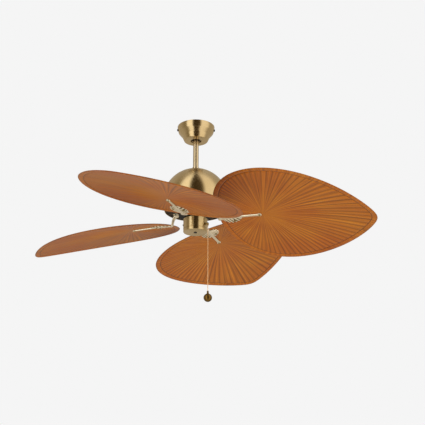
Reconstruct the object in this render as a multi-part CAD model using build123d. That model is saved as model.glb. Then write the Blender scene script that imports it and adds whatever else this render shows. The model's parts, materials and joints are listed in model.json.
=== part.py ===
from build123d import *
import os
from math import cos, degrees, pi, radians, sin, sqrt

# A four-leaf ceiling fan on a short downrod. The origin is in the ceiling plane on the fan's axis,
# +Z is up and every length is in millimetres. "Z" names are heights, so they are all negative.

os.makedirs("parts", exist_ok=True)

# ---------------------------------------------------------------- driving dimensions
# Canopy, the bowl against the ceiling
CANOPY_RIM_R = 71.5
CANOPY_SHOULDER_R = 67.0
CANOPY_SHOULDER_DROP = 23.0
CANOPY_WAIST_R = 53.5
CANOPY_WAIST_DROP = 39.5
CANOPY_FOOT_R = 45.0
CANOPY_DEPTH = 58.5
CANOPY_WALL = 1.2
CANOPY_HOLE_R = 21.0
CANOPY_SHOULDER_ROUND = 8.0
CANOPY_FOOT_ROUND = 5.0
CANOPY_SCREW_DROP = 12.0

# Hanger bracket
PLATE_T = 2.0
STRAP_W = 34.0
HUB_DISC_R = 34.0
CABLE_HOLE_R = 10.0
BOX_SCREW_SPACING = 88.9
BOX_SLOT_LENGTH = 14.0
BOX_SLOT_W = 5.2
EAR_W = 16.0
EAR_DEPTH = 18.0
EAR_GAP = 1.0
LEG_T = 2.5
LEG_W = 20.0
SEAT_RING_WALL = 6.0
SEAT_RING_HEIGHT = 10.0

# Hanger ball and downrod
BALL_DROP = 36.0
BALL_R = 22.8
BALL_HALF_HEIGHT = 16.0
LINER_T = 1.6
BALL_JOINT_GAP = 0.3
ROD_R = 10.65
ROD_WALL = 2.0
ROD_ABOVE_BALL = 3.0
ROD_EXPOSED = 111.5
ROD_SOCKET = 44.0
ROD_PIN_R = 3.0
ROD_PIN_RISE = 6.0

# Motor yoke, seen as a short collar above the motor cover
COLLAR_WALL = 2.0
COLLAR_STAND = 10.8
YOKE_WEB = 4.0
YOKE_FLANGE_R = 28.0
YOKE_FLANGE_DROP = 9.0
YOKE_PIN_DROP = 18.0
YOKE_LENGTH = 62.0
YOKE_MOTOR_GAP = 14.0

# Motor cover, a truncated ball
COVER_R = 123.2
COVER_WALL = 1.5
COVER_RIM_DROP = 42.4
COVER_SCREW_PITCH_R = 21.0
COVER_SCREW_COUNT = 3
VENT_PLATE_T = 1.5
VENT_PLATE_RISE = 1.4
VENT_COUNT = 24
VENT_LENGTH = 16.0
VENT_W = 5.0

# Motor
MOTOR_COVER_GAP = 16.0
CASE_WALL = 3.0
SHAFT_R = 8.5
SHAFT_BORE_R = 5.0
BEARING_R = 17.5
BEARING_WIDTH = 10.0
BEARING_RING_T = 3.0
BEARING_BALL_R = 2.4
BEARING_BALL_COUNT = 9
BEARING_BOSS_WALL = 4.5
STATOR_HEIGHT = 36.0
STATOR_HUB_R = 34.0
TOOTH_COUNT = 12
TOOTH_W = 9.0
COIL_T = 3.6
COIL_GAP = 0.2
COIL_ROOT_GAP = 4.0
COIL_TIP_GAP = 8.0
RING_RADIAL = 19.0
RING_HEIGHT = 40.0
AIR_GAP = 0.7
CASE_LUG_R = 7.0
CASE_LUG_H = 6.0
CASE_SCREW_COUNT = 4
CASE_VENT_R = 5.0
CASE_VENT_PITCH_R = 56.0
CASE_VENT_COUNT = 8

# Flywheel, the black hub that carries the blade irons
FLYWHEEL_NECK = 20.0
FLYWHEEL_NECK_R = 44.0
FLYWHEEL_BORE_R = 24.0
FLANGE_R = 84.0
FLANGE_T = 6.0
BARREL_R = 62.0
BARREL_WALL = 4.0
BARREL_BOTTOM_T = 3.0
BARREL_HEIGHT = 12.6
FLYWHEEL_SCREW_PITCH_R = 34.0
FLYWHEEL_SCREW_COUNT = 4
COUNTERBORE_R = 5.5
COUNTERBORE_DEPTH = 24.0

# Blades: four leaves, drooped outwards, pitched and gently domed
BLADE_COUNT = 4
REST_PHASE = -21.6
LEAF_LENGTH = 584.0
LEAF_HALF_WIDTH = 288.0
LEAF_T = 3.6
LEAF_BASE_R = 97.0
LEAF_DATUM_R = 415.0
LEAF_DATUM_DROP = 56.8
LEAF_PITCH = 14.85
LEAF_DROOP = 7.2
LEAF_BASE_POWER = 0.44
LEAF_TIP_POWER = 0.77
LEAF_DOME_ALONG_R = 2000.0
LEAF_DOME_ACROSS_R = 3600.0
LEAF_OUTLINE_STEPS = 16

# Blade irons
IRON_T = 4.0
IRON_FOOT_T = 4.0
IRON_FOOT_W = 42.0
IRON_FOOT_CLEAR = 0.6
IRON_ARM_W = 22.0
IRON_ARM_T = 9.0
IRON_ARM_REACH = 16.0
IRON_START_R = 94.0
IRON_FINGER_END_R = 250.0
IRON_FINGER_W = 10.0
IRON_PAD_R = 7.0
IRON_LOBE_R = 143.0
IRON_LOBE_LENGTH = 66.0
IRON_LOBE_W = 24.0
IRON_LOBE_OFFSET = 20.0
IRON_LOBE_SPLAY = 14.0
LOBE_SCREW_R = 152.0
FOOT_SCREW_OFFSET = 16.0

# Switch housing and its cap
HOUSING_GAP = 2.0
HOUSING_TOP_R = 37.0
HOUSING_R = 45.0
HOUSING_WALL = 1.5
HOUSING_SHOULDER = 13.0
HOUSING_HEIGHT = 38.0
CAP_HEIGHT = 12.0
CAP_ROUND = 3.0
CAP_GROOVE = 0.8
SPIGOT_DEPTH = 6.0
SPIGOT_WALL = 1.5
HOUSING_SCREW_DROP = 22.0
HOUSING_TAB_W = 10.0
HOUSING_TAB_T = 2.0
PLUG_R = 5.0
PLUG_HEAD = 1.6
PLUG_LIP = 1.0
NUT_SIDES = 6
NUT_FLATS = 26.0
NUT_H = 6.0

# Pull switch, cord and knob
PULL_AZIMUTH = -36.0
PULL_DROP = 25.0
PULL_CORD_R = 1.2
PULL_PITCH_R = 57.0
FERRULE_R = 3.2
FERRULE_NUT_R = 5.2
FERRULE_NUT_T = 2.2
FERRULE_MOUTH = 8.0
FERRULE_SEAT_RISE = 0.5
CORD_PLAY = 0.5
PULL_CORD_LENGTH = 257.0
KNOB_R = 15.25
KNOB_NECK_R = 4.0
KNOB_NECK_H = 10.0
SWITCH_BODY_FRONT_R = 38.0
SWITCH_BODY_DEPTH = 18.0
SWITCH_BODY_W = 16.0
SWITCH_BODY_H = 22.0
LEVER_W = 4.0
LEVER_T = 3.0
LEVER_LENGTH = 12.0
LEVER_PIN_R = 1.5
LEVER_SIDE_GAP = 0.5

# Reversing switch, on the far side of the housing
REVERSE_AZIMUTH = 90.0
REVERSE_W = 20.0
REVERSE_H = 13.0
REVERSE_DEPTH = 12.0
SLIDER_W = 4.0
SLIDER_H = 5.0
SLIDER_PROUD = 2.5
SLIDER_FOOT = 4.0
SLIDER_TRAVEL = 6.0
SLIDER_GAP = 0.5

# Run capacitor, between the two switches
CAPACITOR_AZIMUTH = 150.0
CAPACITOR_R = 24.0
CAPACITOR_SIZE = (14.0, 26.0, 20.0)

# Fasteners and leads
SMALL_SCREW_R = 2.0
SMALL_HEAD_R = 4.0
SMALL_HEAD_H = 2.4
CANOPY_HEAD_R = 4.6
CANOPY_HEAD_H = 4.0
LEAD_R = 1.3
LEAD_SPREAD = 3.2
LEAD_BEND_R = 8.0

HEAD_ROUND_SHARE = 0.6
TINY_HEAD_SHARE = 0.8
LEAD_COUNT = 3

# Fits
PIN_PLAY = 0.05
SLIP_FIT = 0.05
CLEAR = 0.5
ANGLE_FULL = 360.0

# ---------------------------------------------------------------- places worked out from them
BALL_Z = -BALL_DROP
COLLAR_TOP_Z = -CANOPY_DEPTH - ROD_EXPOSED
ROD_TOP_Z = BALL_Z + BALL_HALF_HEIGHT + ROD_ABOVE_BALL
ROD_END_Z = COLLAR_TOP_Z - ROD_SOCKET
COLLAR_R = ROD_R + SLIP_FIT + COLLAR_WALL
COVER_TOP_Z = COLLAR_TOP_Z - COLLAR_STAND
COVER_Z = COVER_TOP_Z - COVER_R
COVER_RIM_Z = COVER_Z - COVER_RIM_DROP
FLANGE_BOTTOM_Z = COVER_RIM_Z - FLANGE_T
BARREL_BOTTOM_Z = FLANGE_BOTTOM_Z - BARREL_HEIGHT
YOKE_BOTTOM_Z = COLLAR_TOP_Z - YOKE_LENGTH
MOTOR_TOP_Z = YOKE_BOTTOM_Z - YOKE_MOTOR_GAP
MOTOR_BOTTOM_Z = COVER_RIM_Z + FLYWHEEL_NECK
MOTOR_MID_Z = (MOTOR_TOP_Z + MOTOR_BOTTOM_Z) / 2
SHAFT_TOP_Z = ROD_END_Z - YOKE_WEB
MOTOR_REACH = max(abs(MOTOR_TOP_Z - COVER_Z), abs(MOTOR_BOTTOM_Z - COVER_Z))
MOTOR_R = sqrt((COVER_R - COVER_WALL) ** 2 - MOTOR_REACH ** 2) - MOTOR_COVER_GAP
HOUSING_TOP_Z = BARREL_BOTTOM_Z - HOUSING_GAP
HOUSING_SHOULDER_Z = HOUSING_TOP_Z - HOUSING_SHOULDER
HOUSING_END_Z = HOUSING_SHOULDER_Z - HOUSING_HEIGHT
CAP_BOTTOM_Z = HOUSING_END_Z - CAP_HEIGHT
HOUSING_INNER_R = HOUSING_R - HOUSING_WALL
SHAFT_END_Z = HOUSING_TOP_Z - COLLAR_WALL - NUT_H - CLEAR
PULL_Z = HOUSING_SHOULDER_Z - PULL_DROP
HOUSING_SCREW_Z = HOUSING_SHOULDER_Z - HOUSING_SCREW_DROP
LEAF_DATUM_Z = COVER_RIM_Z - LEAF_DATUM_DROP
BLADE_AZIMUTHS = [REST_PHASE + ANGLE_FULL / BLADE_COUNT * index for index in range(BLADE_COUNT)]


# ---------------------------------------------------------------- small builders
def save(node, *shapes):
    """Write the solids of one node to its own file."""
    solids = [solid for shape in shapes for solid in shape.solids()]
    piece = solids[0] if len(solids) == 1 else Compound(children=solids)
    piece.label = node
    export_step(piece, f"parts/{node}.step")


def disc(radius, low_z, high_z):
    """Upright cylinder on the fan's axis."""
    return Pos(0, 0, (low_z + high_z) / 2) * Cylinder(radius, high_z - low_z)


def ring(inner_r, outer_r, low_z, high_z):
    """Upright tube on the fan's axis."""
    return disc(outer_r, low_z, high_z) - disc(inner_r, low_z, high_z)


def block(low_x, high_x, low_y, high_y, low_z, high_z):
    """Box between two corners."""
    middle = Pos((low_x + high_x) / 2, (low_y + high_y) / 2, (low_z + high_z) / 2)
    return middle * Box(high_x - low_x, high_y - low_y, high_z - low_z)


def turned(points):
    """Solid of revolution from a closed (radius, height) outline."""
    outline = Polyline(*[(r, 0, z) for r, z in points], close=True)
    return revolve(make_face(outline), Axis.Z)


def turn(azimuth, shape):
    """The shape turned about the fan's axis."""
    return Rot(0, 0, azimuth) * shape


def around(count, shape, first=0.0):
    """Copies of the shape, evenly spaced about the fan's axis."""
    return [turn(first + ANGLE_FULL / count * index, shape) for index in range(count)]


def radial_bar(radius, inner_r, outer_r, z):
    """Round bar lying along +X."""
    length = outer_r - inner_r
    return Pos((inner_r + outer_r) / 2, 0, z) * Rot(0, 90, 0) * Cylinder(radius, length)


def cross_bar(radius, half_length, z):
    """Round bar lying along Y through the fan's axis."""
    return Pos(0, 0, z) * Rot(90, 0, 0) * Cylinder(radius, 2 * half_length)


def pan_screw(shank_r, shank_length, head_r, head_h):
    """Screw standing on its own origin: the head is below z = 0, the shank above."""
    head = Pos(0, 0, -head_h / 2) * Cylinder(head_r, head_h)
    head = fillet(head.edges().group_by(Axis.Z)[0], head_h * HEAD_ROUND_SHARE)
    return head + Pos(0, 0, shank_length / 2) * Cylinder(shank_r, shank_length)


def wire(points, radius=LEAD_R, bend=LEAD_BEND_R):
    """Round lead along straight runs joined by tangent arcs."""
    path = FilletPolyline(*points, radius=bend)
    section = Plane(origin=path @ 0, z_dir=path % 0) * Circle(radius)
    return sweep(section, path=path)


# ---------------------------------------------------------------- hanger bracket and canopy
def canopy_bowl(inset):
    """Filled bowl; inset shrinks it to the inner surface and lets it run past the rim."""
    bowl = turned([
        (0, inset),
        (CANOPY_RIM_R - inset, inset),
        (CANOPY_RIM_R - inset, 0),
        (CANOPY_SHOULDER_R - inset, -CANOPY_SHOULDER_DROP),
        (CANOPY_WAIST_R - inset, -CANOPY_WAIST_DROP),
        (CANOPY_FOOT_R - inset, inset - CANOPY_DEPTH),
        (0, inset - CANOPY_DEPTH),
    ] if inset else [
        (0, 0),
        (CANOPY_RIM_R, 0),
        (CANOPY_SHOULDER_R, -CANOPY_SHOULDER_DROP),
        (CANOPY_WAIST_R, -CANOPY_WAIST_DROP),
        (CANOPY_FOOT_R, -CANOPY_DEPTH),
        (0, -CANOPY_DEPTH),
    ])
    circles = bowl.edges().filter_by(GeomType.CIRCLE).group_by(Axis.Z)
    bowl = fillet(circles[0], CANOPY_FOOT_ROUND - inset)
    shoulder = [edge for edge in bowl.edges().filter_by(GeomType.CIRCLE)
                if abs(edge.center().Z + CANOPY_SHOULDER_DROP) < CLEAR]
    return fillet(shoulder, CANOPY_SHOULDER_ROUND)


def canopy_inner_r(depth):
    """Inner radius of the canopy's upper wall at a depth below the ceiling."""
    slope = (CANOPY_RIM_R - CANOPY_SHOULDER_R) / CANOPY_SHOULDER_DROP
    return CANOPY_RIM_R - slope * depth - CANOPY_WALL


EAR_X = sqrt(canopy_inner_r(EAR_DEPTH) ** 2 - (EAR_W / 2) ** 2) - EAR_GAP
SEAT_R = BALL_R + LINER_T + 2 * BALL_JOINT_GAP
SEAT_OUTER_R = SEAT_R + SEAT_RING_WALL + LEG_T
LEG_X = SEAT_OUTER_R - LEG_T
SEAT_LOW_Z = BALL_Z - BALL_HALF_HEIGHT
SEAT_HIGH_Z = SEAT_LOW_Z + SEAT_RING_HEIGHT
BLOCK_SIZE = (24.0, 12.0, 12.0)
BLOCK_Y = 25.0
GROUND_X = 18.0
GROUND_Y = -22.0


def hanger_bracket():
    """Strap, two ears for the canopy, two legs and the open ring that seats the ball."""
    strap = block(-EAR_X, EAR_X, -STRAP_W / 2, STRAP_W / 2, -PLATE_T, 0)
    plate = strap + disc(HUB_DISC_R, -PLATE_T, 0) - disc(CABLE_HOLE_R, -PLATE_T, 0)
    slot = Pos(0, 0, -PLATE_T) * extrude(SlotOverall(BOX_SLOT_LENGTH, BOX_SLOT_W), PLATE_T)
    for side in (-1, 1):
        plate -= Pos(side * BOX_SCREW_SPACING / 2, 0, 0) * slot
        low_x, high_x = sorted((side * EAR_X, side * (EAR_X - PLATE_T)))
        ear = block(low_x, high_x, -EAR_W / 2, EAR_W / 2, -EAR_DEPTH, 0)
        low_x, high_x = sorted((side * LEG_X, side * SEAT_OUTER_R))
        leg = block(low_x, high_x, -LEG_W / 2, LEG_W / 2, SEAT_LOW_Z, 0)
        plate += ear + leg
    seat = disc(LEG_X + CLEAR, SEAT_LOW_Z, SEAT_HIGH_Z) - Pos(0, 0, BALL_Z) * Sphere(SEAT_R)
    mouth = ROD_R + 2 * CLEAR
    seat -= block(-mouth, mouth, 0, SEAT_OUTER_R, SEAT_LOW_Z, SEAT_HIGH_Z)
    plate += seat
    plate -= radial_bar(SMALL_SCREW_R, -EAR_X, EAR_X, -CANOPY_SCREW_DROP) - disc(LEG_X, -EAR_DEPTH, 0)
    return plate - Pos(GROUND_X, GROUND_Y, -PLATE_T / 2) * Cylinder(SMALL_SCREW_R, PLATE_T)


def canopy():
    """Spun bowl with the rod's hole in its foot and two screw holes near the rim."""
    shell = canopy_bowl(0.0) - canopy_bowl(CANOPY_WALL) - disc(CANOPY_HOLE_R, -CANOPY_DEPTH, 0)
    return shell - radial_bar(SMALL_SCREW_R, -CANOPY_RIM_R, CANOPY_RIM_R, -CANOPY_SCREW_DROP)


def canopy_screw():
    """Screw that enters the canopy's wall along -X, its head outside."""
    head_x = canopy_inner_r(CANOPY_SCREW_DROP) + CANOPY_WALL
    screw = pan_screw(SMALL_SCREW_R, head_x - EAR_X + 2 * PLATE_T, CANOPY_HEAD_R, CANOPY_HEAD_H)
    return Pos(head_x, 0, -CANOPY_SCREW_DROP) * Rot(0, -90, 0) * screw - canopy_bowl(0.0) \
        + radial_bar(SMALL_SCREW_R, EAR_X - 2 * PLATE_T, head_x, -CANOPY_SCREW_DROP)


def terminal_block():
    """Moulded block under the plate, with three clamp bores."""
    length, width, height = BLOCK_SIZE
    body = Pos(0, BLOCK_Y, -PLATE_T - height / 2) * Box(length, width, height)
    for lane in (-1, 0, 1):
        body -= Pos(lane * length / 3, BLOCK_Y, -PLATE_T - height) * Cylinder(SMALL_SCREW_R, height)
    return body


def supply_lead(lane):
    """Short lead from the terminal block to just above the downrod's mouth."""
    width, height = BLOCK_SIZE[1:]
    lead_x = lane * LEAD_SPREAD
    lead_z = -PLATE_T - height / 2
    start = (lead_x, BLOCK_Y - width / 2, lead_z)
    return Pos(lead_x, start[1] / 2, lead_z) * Rot(90, 0, 0) * Cylinder(LEAD_R, start[1])


def seat_liner():
    """Nylon ring between the bracket's seat and the ball, round on both faces."""
    zone = disc(SEAT_R, SEAT_LOW_Z + 2 * CLEAR, SEAT_HIGH_Z)
    outer = Pos(0, 0, BALL_Z) * Sphere(BALL_R + BALL_JOINT_GAP + LINER_T)
    return (zone & outer) - Pos(0, 0, BALL_Z) * Sphere(BALL_R + BALL_JOINT_GAP)


# ---------------------------------------------------------------- ball, downrod and yoke
PIN_Z = BALL_Z + ROD_PIN_RISE
SET_SCREW_Z = BALL_Z - ROD_PIN_RISE - CLEAR
YOKE_PIN_Z = COVER_TOP_Z - YOKE_PIN_DROP
YOKE_SCREW_Z = (COLLAR_TOP_Z + COVER_TOP_Z) / 2
ROD_PIN_HALF = sqrt((BALL_R - CLEAR) ** 2 - (ROD_PIN_RISE + ROD_PIN_R) ** 2)
YOKE_PIN_HALF = COLLAR_R + 2 * ROD_PIN_R
CLIP_Y = COLLAR_R + ROD_PIN_R
CLIP_WIRE_R = 0.8
CLIP_REACH = 10.0


def hanger_ball():
    """Ball with flats above and below, bored for the rod, its pin and a set screw."""
    ball = Pos(0, 0, BALL_Z) * Sphere(BALL_R)
    ball &= disc(BALL_R, BALL_Z - BALL_HALF_HEIGHT, BALL_Z + BALL_HALF_HEIGHT)
    ball -= disc(ROD_R + SLIP_FIT, BALL_Z - BALL_R, BALL_Z + BALL_R)
    ball -= cross_bar(ROD_PIN_R + PIN_PLAY, BALL_R, PIN_Z)
    return ball - radial_bar(ROD_PIN_R, ROD_R, BALL_R, SET_SCREW_Z)


def downrod():
    """Steel tube with a cross hole near each end."""
    tube = ring(ROD_R - ROD_WALL, ROD_R, ROD_END_Z, ROD_TOP_Z)
    for hole_z in (PIN_Z, YOKE_PIN_Z):
        tube -= cross_bar(ROD_PIN_R + PIN_PLAY, COLLAR_R, hole_z)
    return tube


def yoke():
    """Collar that takes the rod above and the motor shaft below, with a flange under the cover."""
    body = disc(COLLAR_R, YOKE_BOTTOM_Z, COLLAR_TOP_Z)
    flange = disc(YOKE_FLANGE_R, COVER_TOP_Z - YOKE_FLANGE_DROP, COVER_TOP_Z)
    body += flange & (Pos(0, 0, COVER_Z) * Sphere(COVER_R - COVER_WALL))
    body -= disc(ROD_R + SLIP_FIT, ROD_END_Z, COLLAR_TOP_Z)
    body -= disc(SHAFT_BORE_R, SHAFT_TOP_Z, ROD_END_Z)
    body -= disc(SHAFT_R, YOKE_BOTTOM_Z, SHAFT_TOP_Z)
    body -= cross_bar(ROD_PIN_R + PIN_PLAY, YOKE_FLANGE_R, YOKE_PIN_Z)
    body -= radial_bar(SMALL_SCREW_R, -COLLAR_R, COLLAR_R, YOKE_SCREW_Z)
    punch = Pos(COVER_SCREW_PITCH_R, 0, COVER_TOP_Z) * Cylinder(SMALL_SCREW_R, COVER_R / 2)
    for hole in around(COVER_SCREW_COUNT, punch):
        body -= hole
    return body


def yoke_pin():
    """Clevis pin with a head at one end and a hole for the clip at the other."""
    pin = cross_bar(ROD_PIN_R, YOKE_PIN_HALF, YOKE_PIN_Z)
    head = Pos(0, -YOKE_PIN_HALF, YOKE_PIN_Z) * Rot(90, 0, 0) * Cylinder(ROD_PIN_R + 2, 2)
    return pin + head - Pos(0, CLIP_Y, YOKE_PIN_Z) * Cylinder(CLIP_WIRE_R + PIN_PLAY, CLIP_REACH)


def yoke_clip():
    """Bent wire clip through the clevis pin."""
    low_z = YOKE_PIN_Z - CLIP_REACH
    high_z = YOKE_PIN_Z + CLIP_REACH / 2
    leg = Pos(0, CLIP_Y, (low_z + high_z) / 2) * Cylinder(CLIP_WIRE_R, high_z - low_z)
    foot = Rot(0, 90, 0) * Cylinder(CLIP_WIRE_R, CLIP_REACH / 2)
    return leg + Pos(CLIP_REACH / 4, CLIP_Y, low_z + CLIP_WIRE_R) * foot


def yoke_set_screws():
    """Two short screws through the collar's wall, tight on the rod."""
    screw = radial_bar(SMALL_SCREW_R, ROD_R + SLIP_FIT, COLLAR_R + CLEAR, YOKE_SCREW_Z)
    return around(2, screw)


def rod_lead(lane):
    """Lead from the rod's mouth through the yoke and the hollow shaft."""
    wide_x = ROD_PIN_R + 2 * LEAD_R
    narrow = SHAFT_BORE_R - LEAD_R - CLEAR
    angle = radians(ANGLE_FULL / LEAD_COUNT * lane)
    low_x = narrow * cos(angle)
    low_y = narrow * sin(angle)
    high = (wide_x, lane * LEAD_SPREAD, ROD_TOP_Z - CLEAR)
    bend = (wide_x, lane * LEAD_SPREAD, YOKE_PIN_Z - wide_x)
    join = (low_x, low_y, ROD_END_Z)
    end = (low_x, low_y, SHAFT_END_Z)
    return wire([high, bend, join, end])


# ---------------------------------------------------------------- motor cover and vent plate
VENT_PLATE_Z = COVER_RIM_Z + VENT_PLATE_RISE
VENT_PLATE_INNER_R = FLANGE_R + 10 * CLEAR
COVER_INNER_R = COVER_R - COVER_WALL
VENT_PLATE_R = sqrt(COVER_INNER_R ** 2 - (VENT_PLATE_Z - COVER_Z) ** 2)


def ball_cap(radius):
    """Filled ball about the cover's centre, cut flat at the cover's rim."""
    ball = Pos(0, 0, COVER_Z) * Sphere(radius)
    return ball - Pos(0, 0, COVER_RIM_Z - COVER_R) * Cylinder(2 * COVER_R, 2 * COVER_R)


def motor_cover():
    """Spun ball cut open below, with the collar's hole and three screw holes on top."""
    shell = ball_cap(COVER_R) - ball_cap(COVER_INNER_R)
    shell -= disc(COLLAR_R + CLEAR, COVER_Z, COVER_TOP_Z + CLEAR)
    punch = Pos(COVER_SCREW_PITCH_R, 0, COVER_TOP_Z) * Cylinder(SMALL_SCREW_R, COVER_R / 2)
    for hole in around(COVER_SCREW_COUNT, punch):
        shell -= hole
    return shell


def cover_screw():
    """Screw through the cover into the yoke's flange, its head cut to the ball."""
    low_z = COVER_TOP_Z - YOKE_FLANGE_DROP
    head = Pos(COVER_SCREW_PITCH_R, 0, COVER_TOP_Z) * Cylinder(SMALL_HEAD_R, 2 * SMALL_HEAD_H)
    head -= Pos(0, 0, COVER_Z) * Sphere(COVER_R)
    shank = Pos(COVER_SCREW_PITCH_R, 0, (low_z + COVER_TOP_Z) / 2) * Cylinder(SMALL_SCREW_R, YOKE_FLANGE_DROP)
    return head + shank


def vent_plate():
    """Flat ring that closes the cover's mouth, slotted for air, with a stiffening lip."""
    high_z = VENT_PLATE_Z + VENT_PLATE_T
    plate = ring(VENT_PLATE_INNER_R, VENT_PLATE_R, VENT_PLATE_Z, high_z)
    plate &= Pos(0, 0, COVER_Z) * Sphere(COVER_INNER_R)
    slot_r = (VENT_PLATE_INNER_R + VENT_PLATE_R) / 2
    slot = Pos(slot_r, 0, VENT_PLATE_Z) * extrude(SlotOverall(VENT_LENGTH, VENT_W), VENT_PLATE_T)
    for cut in around(VENT_COUNT, slot):
        plate -= cut
    return plate


# ---------------------------------------------------------------- motor
RING_OUTER_R = MOTOR_R - CASE_WALL
RING_INNER_R = RING_OUTER_R - RING_RADIAL
STATOR_R = RING_INNER_R - AIR_GAP
BOSS_R = BEARING_R + BEARING_BOSS_WALL
BEARING_PITCH_R = (SHAFT_R + BEARING_R) / 2
CASE_LUG_PITCH_R = MOTOR_R + SMALL_HEAD_R + CLEAR


def shaft():
    """Fixed hollow shaft; the leads run down its bore."""
    return ring(SHAFT_BORE_R, SHAFT_R, SHAFT_END_Z, SHAFT_TOP_Z)


def stator_core():
    """Stacked laminations: a hub with evenly spaced teeth."""
    low_z = MOTOR_MID_Z - STATOR_HEIGHT / 2
    high_z = MOTOR_MID_Z + STATOR_HEIGHT / 2
    core = disc(STATOR_HUB_R, low_z, high_z)
    for tooth in around(TOOTH_COUNT, block(0, STATOR_R, -TOOTH_W / 2, TOOTH_W / 2, low_z, high_z)):
        core += tooth
    return (core & disc(STATOR_R, low_z, high_z)) - disc(SHAFT_R, low_z, high_z)


def stator_windings():
    """One coil around each tooth."""
    low_r = STATOR_HUB_R + COIL_ROOT_GAP
    high_r = STATOR_R - COIL_TIP_GAP
    bore_y = TOOTH_W / 2 + COIL_GAP
    bore_z = STATOR_HEIGHT / 2 + COIL_GAP
    out_y = bore_y + COIL_T
    out_z = bore_z + COIL_T
    coil = block(low_r, high_r, -out_y, out_y, MOTOR_MID_Z - out_z, MOTOR_MID_Z + out_z)
    coil -= block(low_r, high_r, -bore_y, bore_y, MOTOR_MID_Z - bore_z, MOTOR_MID_Z + bore_z)
    return around(TOOTH_COUNT, coil)


def case_half(web_z, split_z):
    """Cast cup: bearing boss, vented web and skirt, with four screw lugs at the split."""
    up = 1 if split_z < web_z else -1
    low_z, high_z = sorted((web_z, web_z - up * CASE_WALL))
    half = ring(BOSS_R - CLEAR, MOTOR_R, low_z, high_z)
    low_z, high_z = sorted((web_z, web_z - up * BEARING_WIDTH))
    half += ring(BEARING_R, BOSS_R, low_z, high_z)
    low_z, high_z = sorted((web_z, split_z))
    half += ring(RING_OUTER_R, MOTOR_R, low_z, high_z)
    lug_low, lug_high = sorted((split_z, split_z + up * CASE_LUG_H))
    lug_z = (lug_low + lug_high) / 2
    lug = Pos(CASE_LUG_PITCH_R, 0, lug_z) * Cylinder(CASE_LUG_R, CASE_LUG_H)
    hole = Pos(CASE_LUG_PITCH_R, 0, lug_z) * Cylinder(SMALL_SCREW_R, CASE_LUG_H)
    for copy in around(CASE_SCREW_COUNT, lug):
        half += copy - disc(RING_OUTER_R + CLEAR, lug_low, lug_high)
    for copy in around(CASE_SCREW_COUNT, hole):
        half -= copy
    vent = Pos(CASE_VENT_PITCH_R, 0, web_z) * Cylinder(CASE_VENT_R, 2 * CASE_WALL)
    bolt = Pos(FLYWHEEL_SCREW_PITCH_R, 0, web_z) * Cylinder(SMALL_SCREW_R, 2 * CASE_WALL)
    for copy in around(CASE_VENT_COUNT, vent) + around(FLYWHEEL_SCREW_COUNT, bolt):
        half -= copy
    return half


def case_screws():
    """Screws that clamp the two halves at their lugs."""
    screw = pan_screw(SMALL_SCREW_R, 2 * CASE_LUG_H, SMALL_HEAD_R, SMALL_HEAD_H)
    return around(CASE_SCREW_COUNT, Pos(CASE_LUG_PITCH_R, 0, MOTOR_MID_Z - CASE_LUG_H) * screw)


def bearing_race(inner_r, outer_r, low_z):
    """Bearing ring with a round groove for the balls."""
    groove = Pos(0, 0, low_z + BEARING_WIDTH / 2) * Torus(BEARING_PITCH_R, BEARING_BALL_R + PIN_PLAY)
    return ring(inner_r, outer_r, low_z, low_z + BEARING_WIDTH) - groove


def bearing_balls(low_z):
    """Ring of balls half way between the two races."""
    ball = Pos(BEARING_PITCH_R, 0, low_z + BEARING_WIDTH / 2) * Sphere(BEARING_BALL_R)
    return around(BEARING_BALL_COUNT, ball)


def rotor_ring():
    """Laminated cage ring pressed into the rotor case."""
    return ring(RING_INNER_R, RING_OUTER_R, MOTOR_MID_Z - RING_HEIGHT / 2, MOTOR_MID_Z + RING_HEIGHT / 2)


def flywheel():
    """Neck, wide flange for the irons and a hollow barrel, in one black casting."""
    trough_z = BARREL_BOTTOM_Z + BARREL_BOTTOM_T
    body = turned([
        (FLYWHEEL_BORE_R, MOTOR_BOTTOM_Z),
        (FLYWHEEL_NECK_R, MOTOR_BOTTOM_Z),
        (FLYWHEEL_NECK_R, trough_z),
        (BARREL_R - BARREL_WALL, trough_z),
        (BARREL_R - BARREL_WALL, COVER_RIM_Z),
        (FLANGE_R, COVER_RIM_Z),
        (FLANGE_R, FLANGE_BOTTOM_Z),
        (BARREL_R, FLANGE_BOTTOM_Z),
        (BARREL_R, BARREL_BOTTOM_Z),
        (FLYWHEEL_BORE_R, BARREL_BOTTOM_Z),
    ])
    bore = Pos(FLYWHEEL_SCREW_PITCH_R, 0, COVER_RIM_Z) * Cylinder(SMALL_SCREW_R, COVER_R)
    seat_z = BARREL_BOTTOM_Z + COUNTERBORE_DEPTH / 2
    seat = Pos(FLYWHEEL_SCREW_PITCH_R, 0, seat_z) * Cylinder(COUNTERBORE_R, COUNTERBORE_DEPTH)
    for cut in around(FLYWHEEL_SCREW_COUNT, bore + seat):
        body -= cut
    foot_hole = iron_foot_holes(FLANGE_BOTTOM_Z, COVER_RIM_Z)
    for azimuth in BLADE_AZIMUTHS:
        for hole in foot_hole:
            body -= turn(azimuth, hole)
    return body


def flywheel_screws():
    """Long screws up through the neck into the rotor case."""
    head_z = BARREL_BOTTOM_Z + COUNTERBORE_DEPTH
    screw = pan_screw(SMALL_SCREW_R, MOTOR_BOTTOM_Z + CASE_WALL - head_z, SMALL_HEAD_R, SMALL_HEAD_H)
    return around(FLYWHEEL_SCREW_COUNT, Pos(FLYWHEEL_SCREW_PITCH_R, 0, head_z) * screw)


# ---------------------------------------------------------------- leaves and irons
# A leaf is built about a datum on its axis: x runs outwards along the leaf, y across it and z
# through it. Its surface is part of a large ring surface, domed along and across.
LEAF_BASE_X = LEAF_BASE_R - LEAF_DATUM_R
LEAF_DATUM = Pos(LEAF_DATUM_R, 0, LEAF_DATUM_Z) * Rot(0, LEAF_DROOP, 0) * Rot(-LEAF_PITCH, 0, 0)
LEAF_SLAB = 160.0
LEAF_MARGIN = 30.0


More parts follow.
